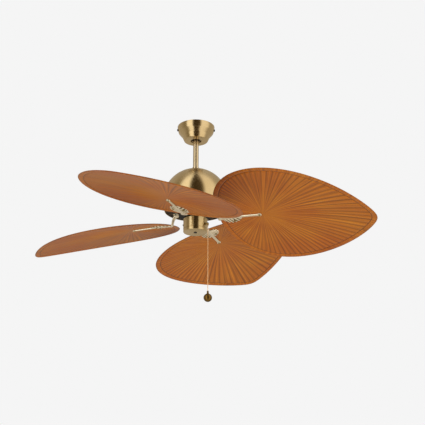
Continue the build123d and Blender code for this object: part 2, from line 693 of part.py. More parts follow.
def leaf_layer(low, high, span_y=LEAF_HALF_WIDTH + LEAF_MARGIN, end_x=None):
    """Domed layer between two heights above the leaf's middle surface."""
    reach = end_x or max(LEAF_LENGTH + LEAF_BASE_X, -LEAF_BASE_X) + LEAF_MARGIN
    ends = []
    arcs = []
    for height in (low, high):
        radius = LEAF_DOME_ACROSS_R + height
        drop = radius - sqrt(radius ** 2 - span_y ** 2)
        ends.append(((0, -span_y, height - drop), (0, span_y, height - drop)))
        arcs.append(ThreePointArc(ends[-1][0], (0, 0, height), ends[-1][1]))
    sides = [Line(ends[0][side], ends[1][side]) for side in (0, 1)]
    section = make_face(Wire(arcs + sides))
    swing = 2 * degrees(reach / LEAF_DOME_ALONG_R)
    axis = Axis((0, 0, -LEAF_DOME_ALONG_R), (0, 1, 0))
    return revolve(section.rotate(axis, -swing / 2), axis, swing)


def leaf_outline():
    """Closed outline: half-width = W (s/m)^a ((1-s)/(1-m))^b along the length, widest at s = m."""
    widest = LEAF_BASE_POWER / (LEAF_BASE_POWER + LEAF_TIP_POWER)
    edge = []
    for step in range(LEAF_OUTLINE_STEPS + 1):
        station = (1 - cos(pi * step / LEAF_OUTLINE_STEPS)) / 2
        rise = (station / widest) ** LEAF_BASE_POWER
        fall = ((1 - station) / (1 - widest)) ** LEAF_TIP_POWER
        edge.append((LEAF_BASE_X + LEAF_LENGTH * station, LEAF_HALF_WIDTH * rise * fall))
    sides = [Spline(*[(x, side * y) for x, y in edge]) for side in (1, -1)]
    return make_face(sides)


def leaf_frame(radius, across, height=0.0):
    """Frame on the leaf at a radius from the fan's axis, z along the leaf's own normal."""
    along = radius - LEAF_DATUM_R
    lift = sqrt(LEAF_DOME_ACROSS_R ** 2 - across ** 2) - LEAF_DOME_ACROSS_R
    arm = LEAF_DOME_ALONG_R + lift
    rise = sqrt(arm ** 2 - along ** 2) - LEAF_DOME_ALONG_R
    tip_angle = degrees(along / arm)
    roll_angle = degrees(across / LEAF_DOME_ACROSS_R)
    return Pos(along, across, rise) * Rot(0, tip_angle, 0) * Rot(-roll_angle, 0, 0) * Pos(0, 0, height)


BLADE_SCREW_PLACES = [
    (IRON_FINGER_END_R, 0.0),
    (LOBE_SCREW_R, IRON_LOBE_OFFSET),
    (LOBE_SCREW_R, -IRON_LOBE_OFFSET),
]
UNDERSIDE = -LEAF_T / 2
IRON_UNDERSIDE = UNDERSIDE - IRON_T


def blade_screw_bars(radius):
    """Bars along the blade screws, used to drill the leaf and the iron."""
    bar = Cylinder(radius, 4 * LEAF_T)
    return [leaf_frame(reach, across) * bar for reach, across in BLADE_SCREW_PLACES]


def leaf():
    """Domed leaf, drilled for its three screws."""
    prism = Pos(0, 0, -LEAF_SLAB / 2) * extrude(leaf_outline(), LEAF_SLAB)
    body = leaf_layer(UNDERSIDE, -UNDERSIDE) & prism
    for bar in blade_screw_bars(SMALL_SCREW_R):
        body -= bar
    return LEAF_DATUM * body


def blade_screws():
    """Three screws of one leaf, heads under the iron."""
    shank = IRON_T + LEAF_T - CLEAR
    screw = pan_screw(SMALL_SCREW_R, shank, SMALL_HEAD_R, SMALL_HEAD_H)
    return [LEAF_DATUM * leaf_frame(reach, across, IRON_UNDERSIDE - PIN_PLAY) * screw
            for reach, across in BLADE_SCREW_PLACES]


FOOT_INNER_R = BARREL_R + IRON_FOOT_CLEAR
FOOT_SCREW_R = (FOOT_INNER_R + FLANGE_R) / 2
FOOT_BOTTOM_Z = FLANGE_BOTTOM_Z - IRON_FOOT_T


def iron_foot_holes(low_z, high_z):
    """The two foot screw holes between two heights."""
    hole = Pos(FOOT_SCREW_R, 0, (low_z + high_z) / 2) * Cylinder(SMALL_SCREW_R, high_z - low_z)
    return [Pos(0, side * FOOT_SCREW_OFFSET, 0) * hole for side in (-1, 1)]


def iron_screws():
    """Two screws of one foot, up into the flange."""
    screw = pan_screw(SMALL_SCREW_R, IRON_FOOT_T + FLANGE_T - CLEAR, SMALL_HEAD_R, SMALL_HEAD_H)
    return [Pos(FOOT_SCREW_R, side * FOOT_SCREW_OFFSET, FOOT_BOTTOM_Z) * screw for side in (-1, 1)]


def iron_plan():
    """Plan of the part under the leaf: a root, two splayed lobes and a long finger with a pad."""
    start_x = IRON_START_R - LEAF_DATUM_R
    pad_x = IRON_FINGER_END_R - LEAF_DATUM_R
    lobe_x = IRON_LOBE_R - LEAF_DATUM_R
    plan = Pos((start_x + pad_x) / 2, 0) * Rectangle(pad_x - start_x, IRON_FINGER_W)
    plan += Pos(pad_x, 0) * Circle(IRON_PAD_R)
    plan += Pos((start_x + lobe_x) / 2, 0) * Rectangle(lobe_x - start_x, IRON_ARM_W)
    for side in (-1, 1):
        lobe = Rot(0, 0, side * IRON_LOBE_SPLAY) * Ellipse(IRON_LOBE_LENGTH / 2, IRON_LOBE_W / 2)
        plan += Pos(lobe_x, side * IRON_LOBE_OFFSET) * lobe
    return plan


def blade_iron():
    """Cast bracket: foot under the flange, sloping arm and the plate that follows the leaf."""
    plan = Pos(0, 0, -LEAF_SLAB / 2) * extrude(iron_plan(), LEAF_SLAB)
    layer = leaf_layer(IRON_UNDERSIDE, UNDERSIDE, IRON_LOBE_LENGTH, LEAF_DATUM_R - IRON_START_R + LEAF_MARGIN)
    plate = LEAF_DATUM * (layer & plan)
    foot = block(FOOT_INNER_R, FLANGE_R, -IRON_FOOT_W / 2, IRON_FOOT_W / 2, FOOT_BOTTOM_Z, FLANGE_BOTTOM_Z)
    knee = LEAF_DATUM * leaf_frame(IRON_START_R, 0, IRON_UNDERSIDE)
    knee_x = knee.position.X
    knee_z = knee.position.Z
    profile = Polyline(
        (FLANGE_R - IRON_ARM_T, 0, FOOT_BOTTOM_Z + CLEAR),
        (FLANGE_R, 0, FOOT_BOTTOM_Z + CLEAR),
        (knee_x, 0, knee_z + 2 * IRON_ARM_T),
        (knee_x, 0, knee_z + IRON_T / 2),
        (knee_x + IRON_ARM_REACH, 0, knee_z + IRON_T / 2),
        (knee_x + IRON_ARM_REACH, 0, knee_z - IRON_T / 2),
        (knee_x - IRON_T / 2, 0, knee_z - IRON_T / 2),
        (knee_x - IRON_ARM_T, 0, knee_z + IRON_ARM_T),
        close=True,
    )
    arm = extrude(make_face(profile), IRON_ARM_W / 2, both=True)
    above = leaf_layer(UNDERSIDE, LEAF_T * 2, IRON_LOBE_LENGTH, LEAF_DATUM_R - IRON_START_R + CLEAR)
    arm -= LEAF_DATUM * above
    iron = foot + arm + plate
    for hole in iron_foot_holes(FOOT_BOTTOM_Z, FLANGE_BOTTOM_Z):
        iron -= hole
    for bar in blade_screw_bars(SMALL_SCREW_R):
        iron -= LEAF_DATUM * bar
    return iron


# ---------------------------------------------------------------- switch housing
SPIGOT_R = HOUSING_INNER_R - PIN_PLAY
REVERSE_Z = PULL_Z + CLEAR
REVERSE_INNER_R = HOUSING_INNER_R - REVERSE_DEPTH
HOUSING_SCREW_AZIMUTHS = (0.0, 180.0)


def housing_plate():
    """Tapered top of the housing, with a spigot and two screw tabs that enter the shell."""
    wall = HOUSING_WALL
    low_z = HOUSING_SHOULDER_Z
    body = turned([
        (SHAFT_R + SLIP_FIT, HOUSING_TOP_Z),
        (HOUSING_TOP_R, HOUSING_TOP_Z),
        (HOUSING_R, low_z),
        (SPIGOT_R, low_z),
        (SPIGOT_R, low_z - SPIGOT_DEPTH),
        (SPIGOT_R - SPIGOT_WALL, low_z - SPIGOT_DEPTH),
        (SPIGOT_R - SPIGOT_WALL, low_z + wall),
        (HOUSING_TOP_R - wall, HOUSING_TOP_Z - COLLAR_WALL),
        (SHAFT_R + SLIP_FIT, HOUSING_TOP_Z - COLLAR_WALL),
    ])
    tab = block(SPIGOT_R - HOUSING_TAB_T, SPIGOT_R, -HOUSING_TAB_W / 2, HOUSING_TAB_W / 2,
                HOUSING_SCREW_Z - HOUSING_TAB_W / 2, low_z - SPIGOT_DEPTH / 2)
    tab &= disc(SPIGOT_R, HOUSING_END_Z, HOUSING_TOP_Z)
    hole = radial_bar(SMALL_SCREW_R, 0, HOUSING_R, HOUSING_SCREW_Z)
    for azimuth in HOUSING_SCREW_AZIMUTHS:
        body += turn(azimuth, tab)
        body -= turn(azimuth, hole)
    return body


def switch_housing():
    """Straight shell with holes for its screws and the pull ferrule and a slot for the slider."""
    shell = ring(HOUSING_INNER_R, HOUSING_R, HOUSING_END_Z, HOUSING_SHOULDER_Z)
    for azimuth in HOUSING_SCREW_AZIMUTHS:
        shell -= turn(azimuth, radial_bar(SMALL_SCREW_R, 0, HOUSING_R, HOUSING_SCREW_Z))
    shell -= turn(PULL_AZIMUTH, radial_bar(FERRULE_R, 0, HOUSING_R, PULL_Z))
    half = SLIDER_W / 2 + SLIDER_GAP
    window = block(0, HOUSING_R, -half, half + SLIDER_TRAVEL,
                   REVERSE_Z - SLIDER_H / 2 - SLIDER_GAP, REVERSE_Z + SLIDER_H / 2 + SLIDER_GAP)
    return shell - turn(REVERSE_AZIMUTH, window)


def housing_screws():
    """Small screws through the shell's wall into the tabs."""
    length = HOUSING_WALL + HOUSING_TAB_T + CLEAR
    screw = pan_screw(SMALL_SCREW_R, length, SMALL_HEAD_R * TINY_HEAD_SHARE, SMALL_HEAD_H * TINY_HEAD_SHARE)
    placed = Pos(HOUSING_R, 0, HOUSING_SCREW_Z) * Rot(0, -90, 0) * screw
    return [turn(azimuth, placed) for azimuth in HOUSING_SCREW_AZIMUTHS]


def bottom_cap():
    """Shallow cup with a rounded edge, a spigot and a centre hole for the plug."""
    top_z = HOUSING_END_Z - CAP_GROOVE
    cup = disc(HOUSING_R, CAP_BOTTOM_Z, top_z)
    cup = fillet(cup.edges().group_by(Axis.Z)[0], CAP_ROUND)
    cup -= disc(HOUSING_INNER_R - SPIGOT_WALL, CAP_BOTTOM_Z + HOUSING_WALL, top_z)
    cup += ring(SPIGOT_R - SPIGOT_WALL, SPIGOT_R, top_z - CLEAR, HOUSING_END_Z + SPIGOT_DEPTH)
    return cup - disc(PLUG_R, CAP_BOTTOM_Z, top_z)


def cap_plug():
    """Plug in the cap's centre hole, where a light kit's stem would otherwise pass."""
    stem = disc(PLUG_R, CAP_BOTTOM_Z, CAP_BOTTOM_Z + 2 * HOUSING_WALL)
    return stem + disc(PLUG_R + PLUG_LIP, CAP_BOTTOM_Z - PLUG_HEAD, CAP_BOTTOM_Z)


def shaft_nuts():
    """Two hexagon nuts that grip the housing plate on the shaft."""
    hexagon = extrude(RegularPolygon(NUT_FLATS / 2, NUT_SIDES, major_radius=False), NUT_H)
    hexagon -= disc(SHAFT_R, 0, NUT_H)
    return [Pos(0, 0, HOUSING_TOP_Z) * hexagon, Pos(0, 0, HOUSING_TOP_Z - COLLAR_WALL - NUT_H) * hexagon]


def capacitor():
    """Boxed run capacitor beside the switches."""
    return turn(CAPACITOR_AZIMUTH, Pos(CAPACITOR_R, 0, PULL_Z) * Box(*CAPACITOR_SIZE))


# ---------------------------------------------------------------- pull switch
LEVER_PIVOT_R = SWITCH_BODY_FRONT_R - SWITCH_BODY_DEPTH / 2
LEVER_PIVOT_Z = PULL_Z + LEVER_LENGTH / 2
POCKET_BACK_R = LEVER_PIVOT_R - LEVER_T
POCKET_FRONT_R = SWITCH_BODY_FRONT_R - HOUSING_WALL
CORD_TOP_Z = PULL_Z + FERRULE_SEAT_RISE
KNOB_Z = CORD_TOP_Z - PULL_CORD_LENGTH - KNOB_NECK_H - sqrt(KNOB_R ** 2 - KNOB_NECK_R ** 2)


def pull_switch():
    """Moulded switch with a pocket for its lever and bores for the pivot and the cord."""
    low_z = PULL_Z - SWITCH_BODY_H / 2
    high_z = PULL_Z + SWITCH_BODY_H / 2
    half = SWITCH_BODY_W / 2
    body = block(SWITCH_BODY_FRONT_R - SWITCH_BODY_DEPTH, SWITCH_BODY_FRONT_R, -half, half, low_z, high_z)
    slot = LEVER_W / 2 + LEVER_SIDE_GAP
    body -= block(POCKET_BACK_R, POCKET_FRONT_R, -slot, slot, low_z, high_z - HOUSING_WALL)
    bore = Rot(90, 0, 0) * Cylinder(LEVER_PIN_R + PIN_PLAY, SWITCH_BODY_W)
    body -= Pos(LEVER_PIVOT_R, 0, LEVER_PIVOT_Z) * bore
    body -= radial_bar(PULL_CORD_R + CORD_PLAY, LEVER_PIVOT_R, HOUSING_R, PULL_Z)
    return turn(PULL_AZIMUTH, body)


def pull_lever():
    """Short lever on its pivot pin; the cord draws its lower end outwards."""
    bar = block(LEVER_PIVOT_R - LEVER_T / 2, LEVER_PIVOT_R + LEVER_T / 2, -LEVER_W / 2, LEVER_W / 2,
                LEVER_PIVOT_Z - LEVER_LENGTH, LEVER_PIVOT_Z + LEVER_T / 2)
    pin = Rot(90, 0, 0) * Cylinder(LEVER_PIN_R, SWITCH_BODY_W - 2 * CLEAR)
    return turn(PULL_AZIMUTH, bar + Pos(LEVER_PIVOT_R, 0, LEVER_PIVOT_Z) * pin)


def pull_ferrule():
    """Elbow from the switch through the wall to a mouth that points down, with a nut outside."""
    bore_r = PULL_CORD_R + CORD_PLAY
    stem = radial_bar(FERRULE_R, SWITCH_BODY_FRONT_R, PULL_PITCH_R, PULL_Z)
    mouth = Pos(PULL_PITCH_R, 0, PULL_Z - FERRULE_MOUTH / 2) * Cylinder(FERRULE_R, FERRULE_MOUTH)
    elbow = stem + mouth + Pos(PULL_PITCH_R, 0, PULL_Z) * Sphere(FERRULE_R)
    elbow += radial_bar(FERRULE_NUT_R, HOUSING_R, HOUSING_R + FERRULE_NUT_T, PULL_Z)
    bore_h = FERRULE_MOUTH + FERRULE_SEAT_RISE
    elbow -= Pos(PULL_PITCH_R, 0, CORD_TOP_Z - bore_h / 2) * Cylinder(bore_r, bore_h)
    return turn(PULL_AZIMUTH, elbow)


def pull_cord():
    """Straight cord, hanging under the knob's weight."""
    return turn(PULL_AZIMUTH, Pos(PULL_PITCH_R, 0, CORD_TOP_Z - PULL_CORD_LENGTH / 2)
                * Cylinder(PULL_CORD_R, PULL_CORD_LENGTH))


def pull_knob():
    """Round knob with a short neck that grips the cord's end."""
    neck_z = CORD_TOP_Z - PULL_CORD_LENGTH
    knob = Pos(PULL_PITCH_R, 0, KNOB_Z) * Sphere(KNOB_R)
    neck = Pos(PULL_PITCH_R, 0, (neck_z + KNOB_Z) / 2) * Cylinder(KNOB_NECK_R, neck_z - KNOB_Z)
    return turn(PULL_AZIMUTH, knob + neck)


# ---------------------------------------------------------------- reversing switch
def reverse_switch():
    """Moulded slide switch against the inside of the shell, open towards its window."""
    half = REVERSE_W / 2
    low_z = REVERSE_Z - REVERSE_H / 2
    body = block(REVERSE_INNER_R, HOUSING_R, -half, half + SLIDER_TRAVEL / 2, low_z, low_z + REVERSE_H)
    body &= disc(HOUSING_INNER_R, HOUSING_END_Z, HOUSING_TOP_Z)
    slot = SLIDER_W / 2 + SLIDER_GAP
    body -= block(REVERSE_INNER_R + SLIDER_FOOT, HOUSING_R, -slot, slot + SLIDER_TRAVEL,
                  REVERSE_Z - SLIDER_H / 2 - SLIDER_GAP, REVERSE_Z + SLIDER_H / 2 + SLIDER_GAP)
    return turn(REVERSE_AZIMUTH, body)


def reverse_slider():
    """Small thumb slider that stands out of the shell's window."""
    slider = block(REVERSE_INNER_R + SLIDER_FOOT + SLIDER_GAP, HOUSING_R + SLIDER_PROUD,
                   -SLIDER_W / 2, SLIDER_W / 2, REVERSE_Z - SLIDER_H / 2, REVERSE_Z + SLIDER_H / 2)
    return turn(REVERSE_AZIMUTH, slider)


# ---------------------------------------------------------------- write every node
save("hanger_bracket", hanger_bracket())
save("canopy", canopy())
save("canopy_screws", *around(2, canopy_screw()))
save("terminal_block", terminal_block())
save("supply_leads", *[supply_lead(lane) for lane in (-1, 0, 1)])
ground_screw = pan_screw(SMALL_SCREW_R, PLATE_T, SMALL_HEAD_R, SMALL_HEAD_H)
save("ground_screw", Pos(GROUND_X, GROUND_Y, -PLATE_T) * ground_screw)
save("seat_liner", seat_liner())

save("hanger_ball", hanger_ball())
save("downrod", downrod())
save("rod_pin", cross_bar(ROD_PIN_R, ROD_PIN_HALF, PIN_Z))
save("ball_set_screw", radial_bar(ROD_PIN_R, ROD_R + SLIP_FIT, BALL_R - 2 * ROD_PIN_R * CLEAR, SET_SCREW_Z))
save("yoke", yoke())
save("yoke_pin", yoke_pin())
save("yoke_clip", yoke_clip())
save("yoke_set_screws", *yoke_set_screws())
save("rod_leads", *[rod_lead(lane) for lane in (-1, 0, 1)])
save("motor_cover", motor_cover())
save("cover_screws", *around(COVER_SCREW_COUNT, cover_screw()))
save("vent_plate", vent_plate())
save("motor_shaft", shaft())
save("stator_core", stator_core())
save("stator_windings", *stator_windings())

save("rotor_case_top", case_half(MOTOR_TOP_Z, MOTOR_MID_Z))
save("rotor_case_bottom", case_half(MOTOR_BOTTOM_Z, MOTOR_MID_Z))
save("case_screws", *case_screws())
save("rotor_ring", rotor_ring())
for name, low_z in (("upper", MOTOR_TOP_Z - BEARING_WIDTH), ("lower", MOTOR_BOTTOM_Z)):
    save(f"{name}_bearing_inner", bearing_race(SHAFT_R, SHAFT_R + BEARING_RING_T, low_z))
    save(f"{name}_bearing_outer", bearing_race(BEARING_R - BEARING_RING_T, BEARING_R, low_z))
    save(f"{name}_bearing_balls", *bearing_balls(low_z))
save("flywheel", flywheel())
save("flywheel_screws", *flywheel_screws())

one_leaf = leaf()
one_iron = blade_iron()
for number, azimuth in enumerate(BLADE_AZIMUTHS, start=1):
    save(f"blade_{number}", turn(azimuth, one_leaf))
    save(f"blade_iron_{number}", turn(azimuth, one_iron))
save("blade_screws", *[turn(azimuth, screw) for azimuth in BLADE_AZIMUTHS for screw in blade_screws()])
save("iron_screws", *[turn(azimuth, screw) for azimuth in BLADE_AZIMUTHS for screw in iron_screws()])

save("housing_plate", housing_plate())
save("shaft_nuts", *shaft_nuts())
save("switch_housing", switch_housing())
save("housing_screws", *housing_screws())
save("bottom_cap", bottom_cap())
save("cap_plug", cap_plug())
save("capacitor", capacitor())
save("pull_switch", pull_switch())
save("pull_lever", pull_lever())
save("pull_ferrule", pull_ferrule())
save("pull_cord", pull_cord())
save("pull_knob", pull_knob())
save("reverse_switch", reverse_switch())
save("reverse_slider", reverse_slider())
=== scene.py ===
import json
import math

import bmesh
import bpy
import numpy as np
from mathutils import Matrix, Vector


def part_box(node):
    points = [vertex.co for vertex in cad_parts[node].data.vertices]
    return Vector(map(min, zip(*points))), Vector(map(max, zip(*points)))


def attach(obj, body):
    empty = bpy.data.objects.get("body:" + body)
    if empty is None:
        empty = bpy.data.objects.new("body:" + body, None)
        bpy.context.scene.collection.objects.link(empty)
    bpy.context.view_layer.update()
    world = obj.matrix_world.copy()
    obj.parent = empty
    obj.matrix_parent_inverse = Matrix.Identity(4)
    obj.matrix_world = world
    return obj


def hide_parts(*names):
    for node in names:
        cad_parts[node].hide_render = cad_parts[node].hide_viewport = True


# Looks of the leaf-blade ceiling fan. Lengths are in metres; MM turns millimetres into them.
MM = 0.001

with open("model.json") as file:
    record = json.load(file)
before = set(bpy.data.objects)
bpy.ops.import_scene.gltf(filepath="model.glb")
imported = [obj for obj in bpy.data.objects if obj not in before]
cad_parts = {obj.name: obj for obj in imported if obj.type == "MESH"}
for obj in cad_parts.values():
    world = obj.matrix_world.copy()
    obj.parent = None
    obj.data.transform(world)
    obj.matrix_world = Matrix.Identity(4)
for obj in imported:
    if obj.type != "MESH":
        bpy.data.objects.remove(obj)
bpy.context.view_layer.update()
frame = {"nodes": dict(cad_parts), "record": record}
record = frame["record"]


# ---------------------------------------------------------------- camera
CAMERA_PLACE = (0.0, -2.910, -1.4216)
CAMERA_LINE = (0.02053, 0.93826, 0.34531)
CAMERA_LENS = 70.3

camera_data = bpy.data.cameras.new("camera")
camera_data.lens = CAMERA_LENS
camera_data.sensor_width = 36.0
camera_data.clip_end = 50.0
camera = bpy.data.objects.new("camera", camera_data)
camera.location = CAMERA_PLACE
camera.rotation_euler = Vector(CAMERA_LINE).to_track_quat("-Z", "Y").to_euler()
bpy.context.collection.objects.link(camera)
bpy.context.scene.camera = camera
bpy.context.scene.view_settings.view_transform = "Standard"


# ---------------------------------------------------------------- colour and node helpers
def linear(code, alpha=1.0):
    """Linear colour of an sRGB hex code."""
    parts = np.array([int(code[i:i + 2], 16) for i in (0, 2, 4)]) / 255
    low = parts / 12.92
    high = ((parts + 0.055) / 1.055) ** 2.4
    return (*np.where(parts <= 0.04045, low, high), alpha)


def add(tree, kind, settings=None, **links):
    """Add a node, set its properties and named sockets, and link sockets given as (node, output)."""
    made = tree.nodes.new(kind)
    for name, value in (settings or {}).items():
        if hasattr(made, name):
            setattr(made, name, value)
        else:
            made.inputs[name].default_value = value
    for name, source in links.items():
        socket = made.inputs[int(name[1:])] if name[0] == "_" else made.inputs[name.replace("__", " ")]
        tree.links.new(source[0].outputs[source[1]], socket)
    return made


def ramp(tree, source, stops, interpolation="LINEAR"):
    """Colour ramp through (position, colour) stops."""
    made = add(tree, "ShaderNodeValToRGB", _0=source)
    made.color_ramp.interpolation = interpolation
    points = made.color_ramp.elements
    while len(points) < len(stops):
        points.new(0.5)
    for point, (position, colour) in zip(points, stops):
        point.position = position
        point.color = colour
    return made


def grey(value):
    """Opaque grey for ramps that carry a number."""
    return (value, value, value, 1.0)


def multiply(tree, first, second):
    """Product of two colours."""
    made = add(tree, "ShaderNodeMix", {"data_type": "RGBA", "blend_type": "MULTIPLY"}, _6=first, _7=second)
    made.inputs[0].default_value = 1.0
    return made


def shader(name, base, roughness, metallic=0.0, **sockets):
    """New material with a Principled shader whose uniform values sit on its own sockets."""
    made = bpy.data.materials.new(name)
    made.use_nodes = True
    body = made.node_tree.nodes["Principled BSDF"]
    body.inputs["Base Color"].default_value = base
    body.inputs["Roughness"].default_value = roughness
    body.inputs["Metallic"].default_value = metallic
    for socket, value in sockets.items():
        body.inputs[socket.replace("__", " ")].default_value = value
    return made, made.node_tree, body


# ---------------------------------------------------------------- materials
def polar(tree):
    """Radius from the fan's axis and height, as one vector (radius, 0, height)."""
    place = add(tree, "ShaderNodeTexCoord")
    split = add(tree, "ShaderNodeSeparateXYZ", _0=(place, "Object"))
    flat = add(tree, "ShaderNodeCombineXYZ", _0=(split, 0), _1=(split, 1))
    radius = add(tree, "ShaderNodeVectorMath", {"operation": "LENGTH"}, _0=(flat, 0))
    return add(tree, "ShaderNodeCombineXYZ", _0=(radius, "Value"), _2=(split, 2)), place


def spun_brass(name, light, dark, roughness, brushing, anisotropy):
    """Lacquered antique brass, spun on a lathe: fine rings round the axis and a cloudy patina."""
    made, tree, body = shader(name, linear(light), roughness, 1.0, Anisotropic=anisotropy,
                              Anisotropic__Rotation=0.25)
    rings, place = polar(tree)
    fine = add(tree, "ShaderNodeTexNoise", {"Scale": 1 / (brushing * MM), "Detail": 2.0}, Vector=(rings, 0))
    cloud = add(tree, "ShaderNodeTexNoise", {"Scale": 9.0, "Detail": 2.0, "Roughness": 0.5},
                Vector=(place, "Object"))
    tone = ramp(tree, (cloud, 0), [(0.35, linear(dark)), (0.65, linear(light))])
    streak = ramp(tree, (fine, 0), [(0.3, grey(0.94)), (0.7, grey(1.0))])
    colour = multiply(tree, (tone, 0), (streak, 0))
    tree.links.new(colour.outputs[2], body.inputs["Base Color"])
    rough = ramp(tree, (fine, 0), [(0.3, grey(roughness * 0.94)), (0.7, grey(roughness * 1.06))])
    tree.links.new(rough.outputs[0], body.inputs["Roughness"])
    return made


def cast_brass():
    """Cast brass with a mottled wash; the relief mark paints shade into the hollows and a highlight onto the
    high ground.
    """
    made, tree, body = shader("cast_antique_brass", linear("b7a583"), 0.34, 1.0)
    place = add(tree, "ShaderNodeTexCoord")
    sand = add(tree, "ShaderNodeTexNoise", {"Scale": 450.0, "Detail": 3.0}, Vector=(place, "Object"))
    wash = add(tree, "ShaderNodeTexNoise", {"Scale": 60.0, "Detail": 3.0}, Vector=(place, "Object"))
    # Relief mark: low in the hollows, high on the crests; it drives painted shade and painted highlight
    high = add(tree, "ShaderNodeAttribute", {"attribute_name": "relief"})
    wash_with_painted_shade_and_highlight = add(tree, "ShaderNodeMath", {"operation": "MULTIPLY_ADD"}, _0=(wash, 0), _2=(high, "Fac"))
    wash_with_painted_shade_and_highlight.inputs[1].default_value = 0.35
    # Ramp: dark 2a2015 is painted shade in the hollows, cream f0e4cc a painted highlight on the high ground
    tone = ramp(tree, (wash_with_painted_shade_and_highlight, 0), [(0.32, linear("2a2015")), (0.62, linear("a08c68")),
                                   (0.95, linear("f0e4cc"))])
    tree.links.new(tone.outputs[0], body.inputs["Base Color"])
    bump = add(tree, "ShaderNodeBump", {"Strength": 0.25, "Distance": 0.0003}, Height=(sand, 0))
    tree.links.new(bump.outputs[0], body.inputs["Normal"])
    return made


def plain_metal(name, code, roughness, grain_mm, metallic=1.0, **sockets):
    """Metal or paint with a fine all-over grain in its gloss and a slight tone change."""
    made, tree, body = shader(name, linear(code), roughness, metallic, **sockets)
    place = add(tree, "ShaderNodeTexCoord")
    grain = add(tree, "ShaderNodeTexNoise", {"Scale": 1 / (grain_mm * MM), "Detail": 3.0},
                Vector=(place, "Object"))
    rough = ramp(tree, (grain, 0), [(0.3, grey(roughness * 0.8)), (0.7, grey(min(1.0, roughness * 1.25)))])
    tree.links.new(rough.outputs[0], body.inputs["Roughness"])
    base = linear(code)
    darker = (*[channel * 0.8 for channel in base[:3]], 1.0)
    tone = ramp(tree, (grain, 0), [(0.3, darker), (0.7, base)])
    tree.links.new(tone.outputs[0], body.inputs["Base Color"])
    bump = add(tree, "ShaderNodeBump", {"Strength": 0.1, "Distance": 0.0002}, Height=(grain, 0))
    tree.links.new(bump.outputs[0], body.inputs["Normal"])
    return made


def leaf_resin():
    """Moulded resin leaf with a wood-brown glaze and streaks: painted shade in the pleat floors, a painted
    highlight on the rib crests, painted shade in the groove inside the edge band and darker edging at the outer
    edge.
    """
    made, tree, body = shader("moulded_resin_leaf", linear("b8763e"), 0.5, 0.0, Specular__IOR__Level=0.35)
    uv = add(tree, "ShaderNodeUVMap", {"uv_map": "leaf"})
    streak_at = add(tree, "ShaderNodeMapping", {"Scale": (220.0, 1.6, 1.0)}, Vector=(uv, 0))
    streak = add(tree, "ShaderNodeTexNoise", {"Scale": 1.0, "Detail": 3.0, "Roughness": 0.65},
                 Vector=(streak_at, 0))
    place = add(tree, "ShaderNodeTexCoord")
    cloud = add(tree, "ShaderNodeTexNoise", {"Scale": 5.0, "Detail": 3.0}, Vector=(place, "Object"))
    # The relief mark: painted shade in the pleat floors, painted highlight on the rib crests
    pleat = add(tree, "ShaderNodeAttribute", {"attribute_name": "relief"})
    rim = add(tree, "ShaderNodeAttribute", {"attribute_name": "rim"})
    tone = ramp(tree, (streak, 0), [(0.3, linear("8a4c06")), (0.5, linear("ab620a")), (0.72, linear("c57c18"))])
    shade = ramp(tree, (pleat, "Fac"), [(0.0, grey(0.5)), (0.25, grey(0.88)), (1.0, grey(1.08))])
    first = multiply(tree, (tone, 0), (shade, 0))
    warm = ramp(tree, (cloud, 0), [(0.35, linear("f2d9c4")), (0.65, linear("ffffff"))])
    second = multiply(tree, (first, 2), (warm, 0))
    # Dark edging: painted shade in the groove, and darker along the outer edge
    edge_line_and_groove_shade = ramp(tree, (rim, "Fac"), [(0.0, grey(1.0)), (1.0, grey(0.22))])
    third = multiply(tree, (second, 2), (edge_line_and_groove_shade, 0))
    tree.links.new(third.outputs[2], body.inputs["Base Color"])
    rough = ramp(tree, (streak, 0), [(0.3, grey(0.42)), (0.7, grey(0.56))])
    tree.links.new(rough.outputs[0], body.inputs["Roughness"])
    bump = add(tree, "ShaderNodeBump", {"Strength": 0.35, "Distance": 0.0004}, Height=(streak, 0))
    tree.links.new(bump.outputs[0], body.inputs["Normal"])
    return made


def cotton_cord():
    """Twisted cotton: slanting strands 1.6 mm apart."""
    made, tree, body = shader("twisted_cotton", linear("d8ae7c"), 0.9, 0.0, Sheen__Weight=0.3)
    place = add(tree, "ShaderNodeTexCoord")
    strand = add(tree, "ShaderNodeTexWave", {"Scale": 200.0, "Distortion": 1.0, "bands_direction": "DIAGONAL"},
                 Vector=(place, "Object"))
    tone = ramp(tree, (strand, 0), [(0.0, linear("b98a58")), (0.6, linear("e2bd8e"))])
    tree.links.new(tone.outputs[0], body.inputs["Base Color"])
    return made


BRASS = spun_brass("spun_antique_brass", "d0b98e", "c4ab7c", 0.25, 0.5, 0.85)
ROD_BRASS = spun_brass("drawn_antique_brass_tube", "dccaab", "cdb994", 0.26, 0.6, 0.7)
KNOB_BRASS = spun_brass("turned_dark_brass_knob", "8a6a34", "5a421c", 0.33, 0.8, 0.3)
CAST = cast_brass()
LEAF = leaf_resin()
CORD = cotton_cord()

